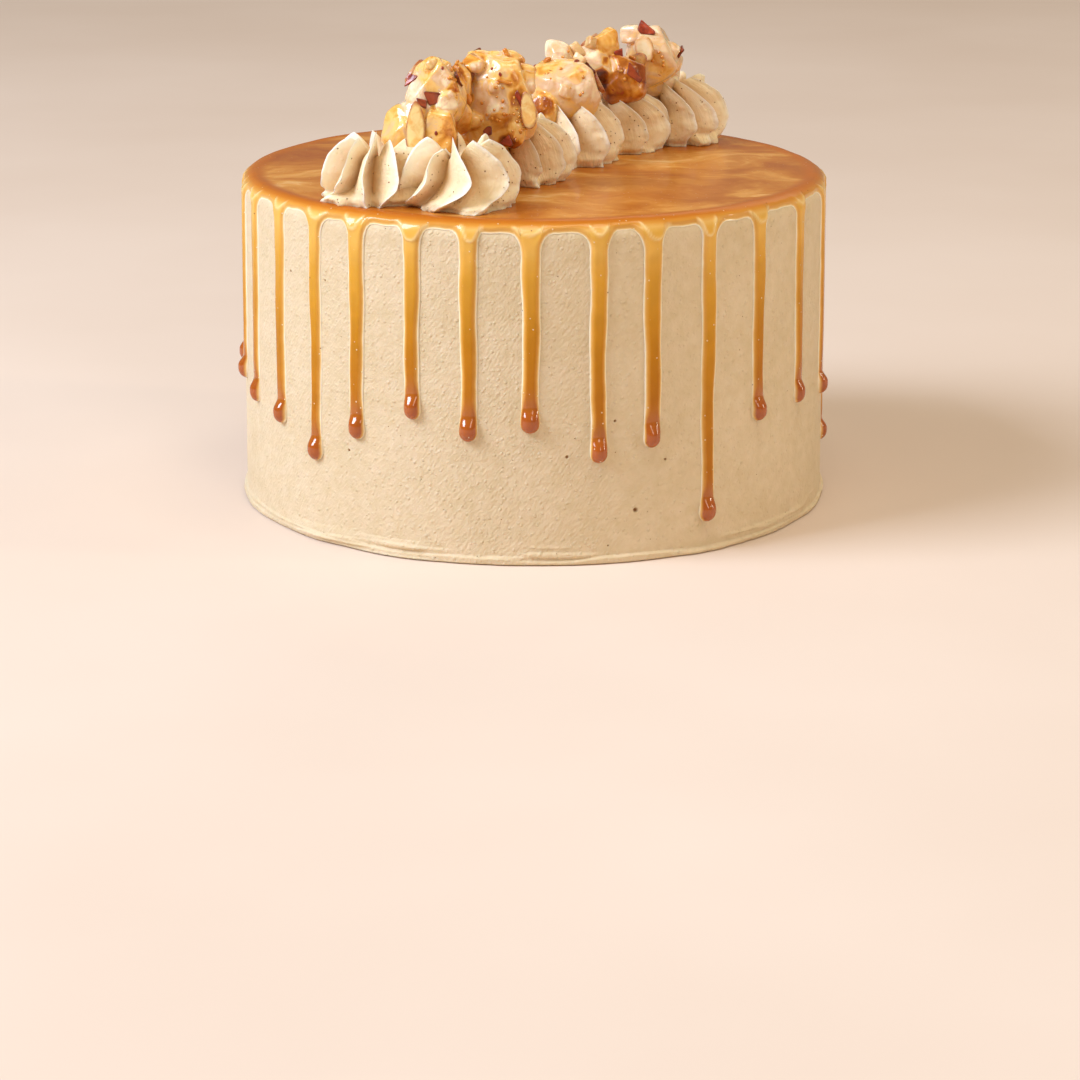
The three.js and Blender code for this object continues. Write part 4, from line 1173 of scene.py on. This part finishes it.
def shard_shape(length, width, thick, seed):
    """A flake of nut skin: a flat slice whose outline is a soft triangle, which is where the sum of the
    eighth powers of the cosines towards its three sides is 1, curled up a little at its corners."""
    out, direction, height, faces = disc(5)
    sides = np.array([0.5, 2.4, 4.6]) + 0.4 * np.sin(seed * np.array([1.3, 2.1, 3.7]))
    outline = (np.maximum(np.cos(direction[:, None] - sides), 0) ** 8).sum(1) ** (-1 / 8)
    radius = out * np.minimum(outline, 1.75) * 0.62
    x, y = radius * np.cos(direction) * length / 2, radius * np.sin(direction) * width / 2
    z = height * thick / 2 + 0.22 * radius ** 2 * length / 4
    return np.stack([x, y, z], -1), faces, smooth(0.8, 0.99, out)


def chip_shape(length, width, thick, square, seed):
    """A broken piece of nut: a rounded box whose faces are cut back by flat planes and dented."""
    d, faces = ball(18, 30)
    p = d / ((np.abs(d) ** square).sum(-1) ** (1 / square))[:, None]
    p = planed(p, np.random.default_rng(seed).normal(size=(3, 3)), 0.86)
    p = p * (1 + 0.06 * noise(p, 0.8, seed))[:, None]
    rim = smooth(0.75, 1.05, np.linalg.norm(p, axis=1)) * 0.5
    return p * np.array([length, width, thick]) / 2, faces, rim


def stick(name, kind, tree, x, y, size, roll, tilt, finish, seed):
    """Puts a detail on the brittle where the line of sight through that point of the picture meets it.
    Its long side lies in the surface, roll degrees anticlockwise from upwards, tilt degrees off it."""
    origin, direction = Vector(EYE), sight(x, y)
    hit, normal, _, _ = tree.ray_cast(origin, direction)
    if hit is None:
        hit, normal, _, _ = tree.find_nearest(origin + direction * TO_CAKE)
    normal = (normal - direction * 0.9).normalized()
    upward = (Vector((0, 0, 1)) - normal * normal.z).normalized()
    turn = math.radians(roll)
    along = upward * math.cos(turn) + normal.cross(upward) * math.sin(turn)
    place_on(name, kind, hit, normal, along, size, tilt, finish, seed, sink=0.3)


def place_on(name, kind, hit, normal, along, size, tilt, finish, seed, sink):
    """Puts a detail at a point of the brittle, flat side against the normal and long side that way. sink
    is the share of its thickness that lies below the surface."""
    if kind == "slice":
        local, faces, rim = slice_shape(*size)
    elif kind == "shard":
        local, faces, rim = shard_shape(*size, seed)
    else:
        local, faces, rim = chip_shape(*size, {"chip": 6, "bead": 2}[kind], seed)
    basis = np.array([list(along), list(normal.cross(along)), list(normal)])
    proud = np.array(normal) * (size[2] * (0.5 - sink))
    points = (local @ turned((0, tilt, 0))) @ basis + np.array(hit) + proud
    add_piece(name, points, faces, finish, None, {"rim": rim})


# cluster, kind, picture x and y, (length, width, thickness) in mm, roll, tilt, finish
DETAILS = [
    (1, "slice", 417.4, 125, (16.5, 5.6, 1.8), -2, 0, ALMOND),
    (1, "shard", 434.0, 98.0, (5.4, 6.6, 1.0), -48, 12, SKIN),
    (1, "shard", 423.6, 102.4, (2.4, 5.6, 0.8), -34, 0, SKIN),
    (1, "shard", 413.0, 80.0, (6.0, 2.6, 0.9), -38, 0, RUST),
    (1, "bead", 437.9, 133.3, (1.3, 1.0, 0.5), 0, 0, RUST),
    (1, "bead", 444.3, 68.2, (1.1, 0.9, 0.5), 0, 0, RUST),
    (1, "bead", 433.6, 63.9, (3.2, 4.2, 1.6), 40, 0, ALMOND),
    (2, "slice", 529.3, 107.5, (11.5, 4.6, 1.8), 8, 0, ALMOND),
    (2, "chip", 508.2, 53.0, (2.8, 1.4, 1.4), 30, 0, SYRUP),
    (2, "bead", 502.0, 74.4, (1.4, 0.9, 0.5), 20, 0, RUST),
    (2, "bead", 493.8, 68.6, (0.9, 0.9, 0.5), 0, 0, RUST),
    (2, "shard", 489.5, 131.0, (2.6, 4.4, 0.9), 10, 0, SKIN),
    (2, "shard", 509.0, 141.5, (3.4, 4.6, 1.0), 20, 0, RUST),
    (2, "shard", 538.0, 78.0, (6.4, 2.4, 1.0), 14, 0, SKIN),
    (2, "shard", 520.5, 98.0, (7.0, 2.0, 0.9), 18, 0, RUST),
    (2, "chip", 506.0, 82.2, (1.0, 4.6, 0.8), -14, 0, SYRUP),
    (3, "bead", 578.4, 61.5, (1.3, 1.8, 0.6), 40, 0, RUST),
    (4, "shard", 625.0, 47.6, (7.4, 4.4, 1.0), 40, 0, SKIN),
    (4, "shard", 621.0, 54.0, (4.4, 3.4, 0.9), 10, 0, RUST),
    (5, "shard", 646.5, 29.0, (8.0, 4.8, 1.0), 36, 0, RUST),
    (5, "slice", 647.4, 50.5, (8.4, 5.8, 1.5), 200, 0, PALE_NUT),
]


def scatter(number, tree, lumps):
    """Bits on the sides that the camera doesn't see, along rays that come in from behind and above."""
    tries, ray = 9, 60
    draw = np.random.default_rng(40 + number)
    centre = np.mean([at for at, *_ in lumps], axis=0)
    kinds = [("slice", (10.5, 5.0, 1.7), ALMOND), ("chip", (5.0, 4.4, 3.0), PALE_NUT),
             ("shard", (6.4, 5.0, 1.0), SKIN), ("bead", (3.0, 3.0, 1.8), SYRUP),
             ("chip", (3.4, 3.0, 2.4), ALMOND)]
    for k in range(tries):
        angle = math.radians(draw.uniform(105, 255))
        up = draw.uniform(-0.15, 0.9)
        direction = Vector((math.sin(angle), -math.cos(angle), up)).normalized()
        aim = Vector(centre + draw.uniform(-4, 4, 3))
        hit, normal, _, _ = tree.ray_cast(aim + direction * ray, -direction)
        if hit is None:
            continue
        normal = (normal + direction * 0.6).normalized()
        along = normal.cross(Vector(draw.normal(size=3))).normalized()
        kind, size, finish = kinds[k % len(kinds)]
        size = tuple(np.array(size) * draw.uniform(0.75, 1.15))
        place_on(f"back_bit_{number}_{k}", kind, hit, normal, along, size, 0, finish,
                 seed=90 * number + k, sink=0.25)


def bubbles(number, tree, spots):
    """Beads of set froth, half a millimetre to one and a half across, in one piece for the cluster."""
    draw = np.random.default_rng(70 + number)
    points, faces, count = [], [], 0
    d, cells = ball(5, 8)
    for x, y, spread, many in spots:
        for _ in range(many):
            shift = draw.normal(0, spread, 2)
            hit, normal, _, _ = tree.ray_cast(Vector(EYE), sight(x + shift[0], y + shift[1]))
            if hit is None:
                continue
            size = draw.uniform(0.28, 0.62)
            points.append(d * size + np.array(hit + normal * size * 0.25))
            faces += [[k + count for k in face] for face in cells]
            count += len(d)
    if points:
        points = np.concatenate(points)
        add_piece(f"froth_{number}", points, faces, SYRUP, None, {"rim": np.zeros(len(points))})


# Where froth lies: picture x and y, how far it spreads in pixels, and how many rays are tried.
FROTH = {
    1: [(458, 68, 4.5, 14), (455, 80, 3, 4), (430, 142, 4, 3)],
    2: [(512, 108, 8, 12), (525, 124, 5, 12), (503, 86, 6, 8), (490, 118, 8, 8), (516, 138, 4, 6)],
    3: [(560, 66, 9, 5), (583, 84, 6, 5)],
    4: [(622, 70, 6, 5)],
    5: [(662, 58, 7, 5)],
}


# ---------------------------------------------------------------- the cake

stage()
frosted_body()
glaze()
piped = buttercream("piped_buttercream", ("f4e1bd", "ebd2a4"), "c48f4e", pit_every=1.6, pit_radius=0.29,
                    grain=0.16, wrinkle=0.30, slant=0, stroke=(0.9, 8.0), edges=True)
for index, swirl_shape in enumerate(SWIRLS, 1):
    swirl(index, swirl_shape, piped)
toffee = brittle_coat()
coats = {index: coat(index, cluster, toffee) for index, cluster in enumerate(CLUSTERS, 1)}
for index, (cluster, kind, px, py, size, roll, tilt, material) in enumerate(DETAILS):
    stick(f"nut_bit_{cluster}_{index}", kind, coats[cluster], px, py, size, roll, tilt, material, index)
for index, cluster in enumerate(CLUSTERS, 1):
    scatter(index, coats[index], cluster)
    bubbles(index, coats[index], FROTH[index])
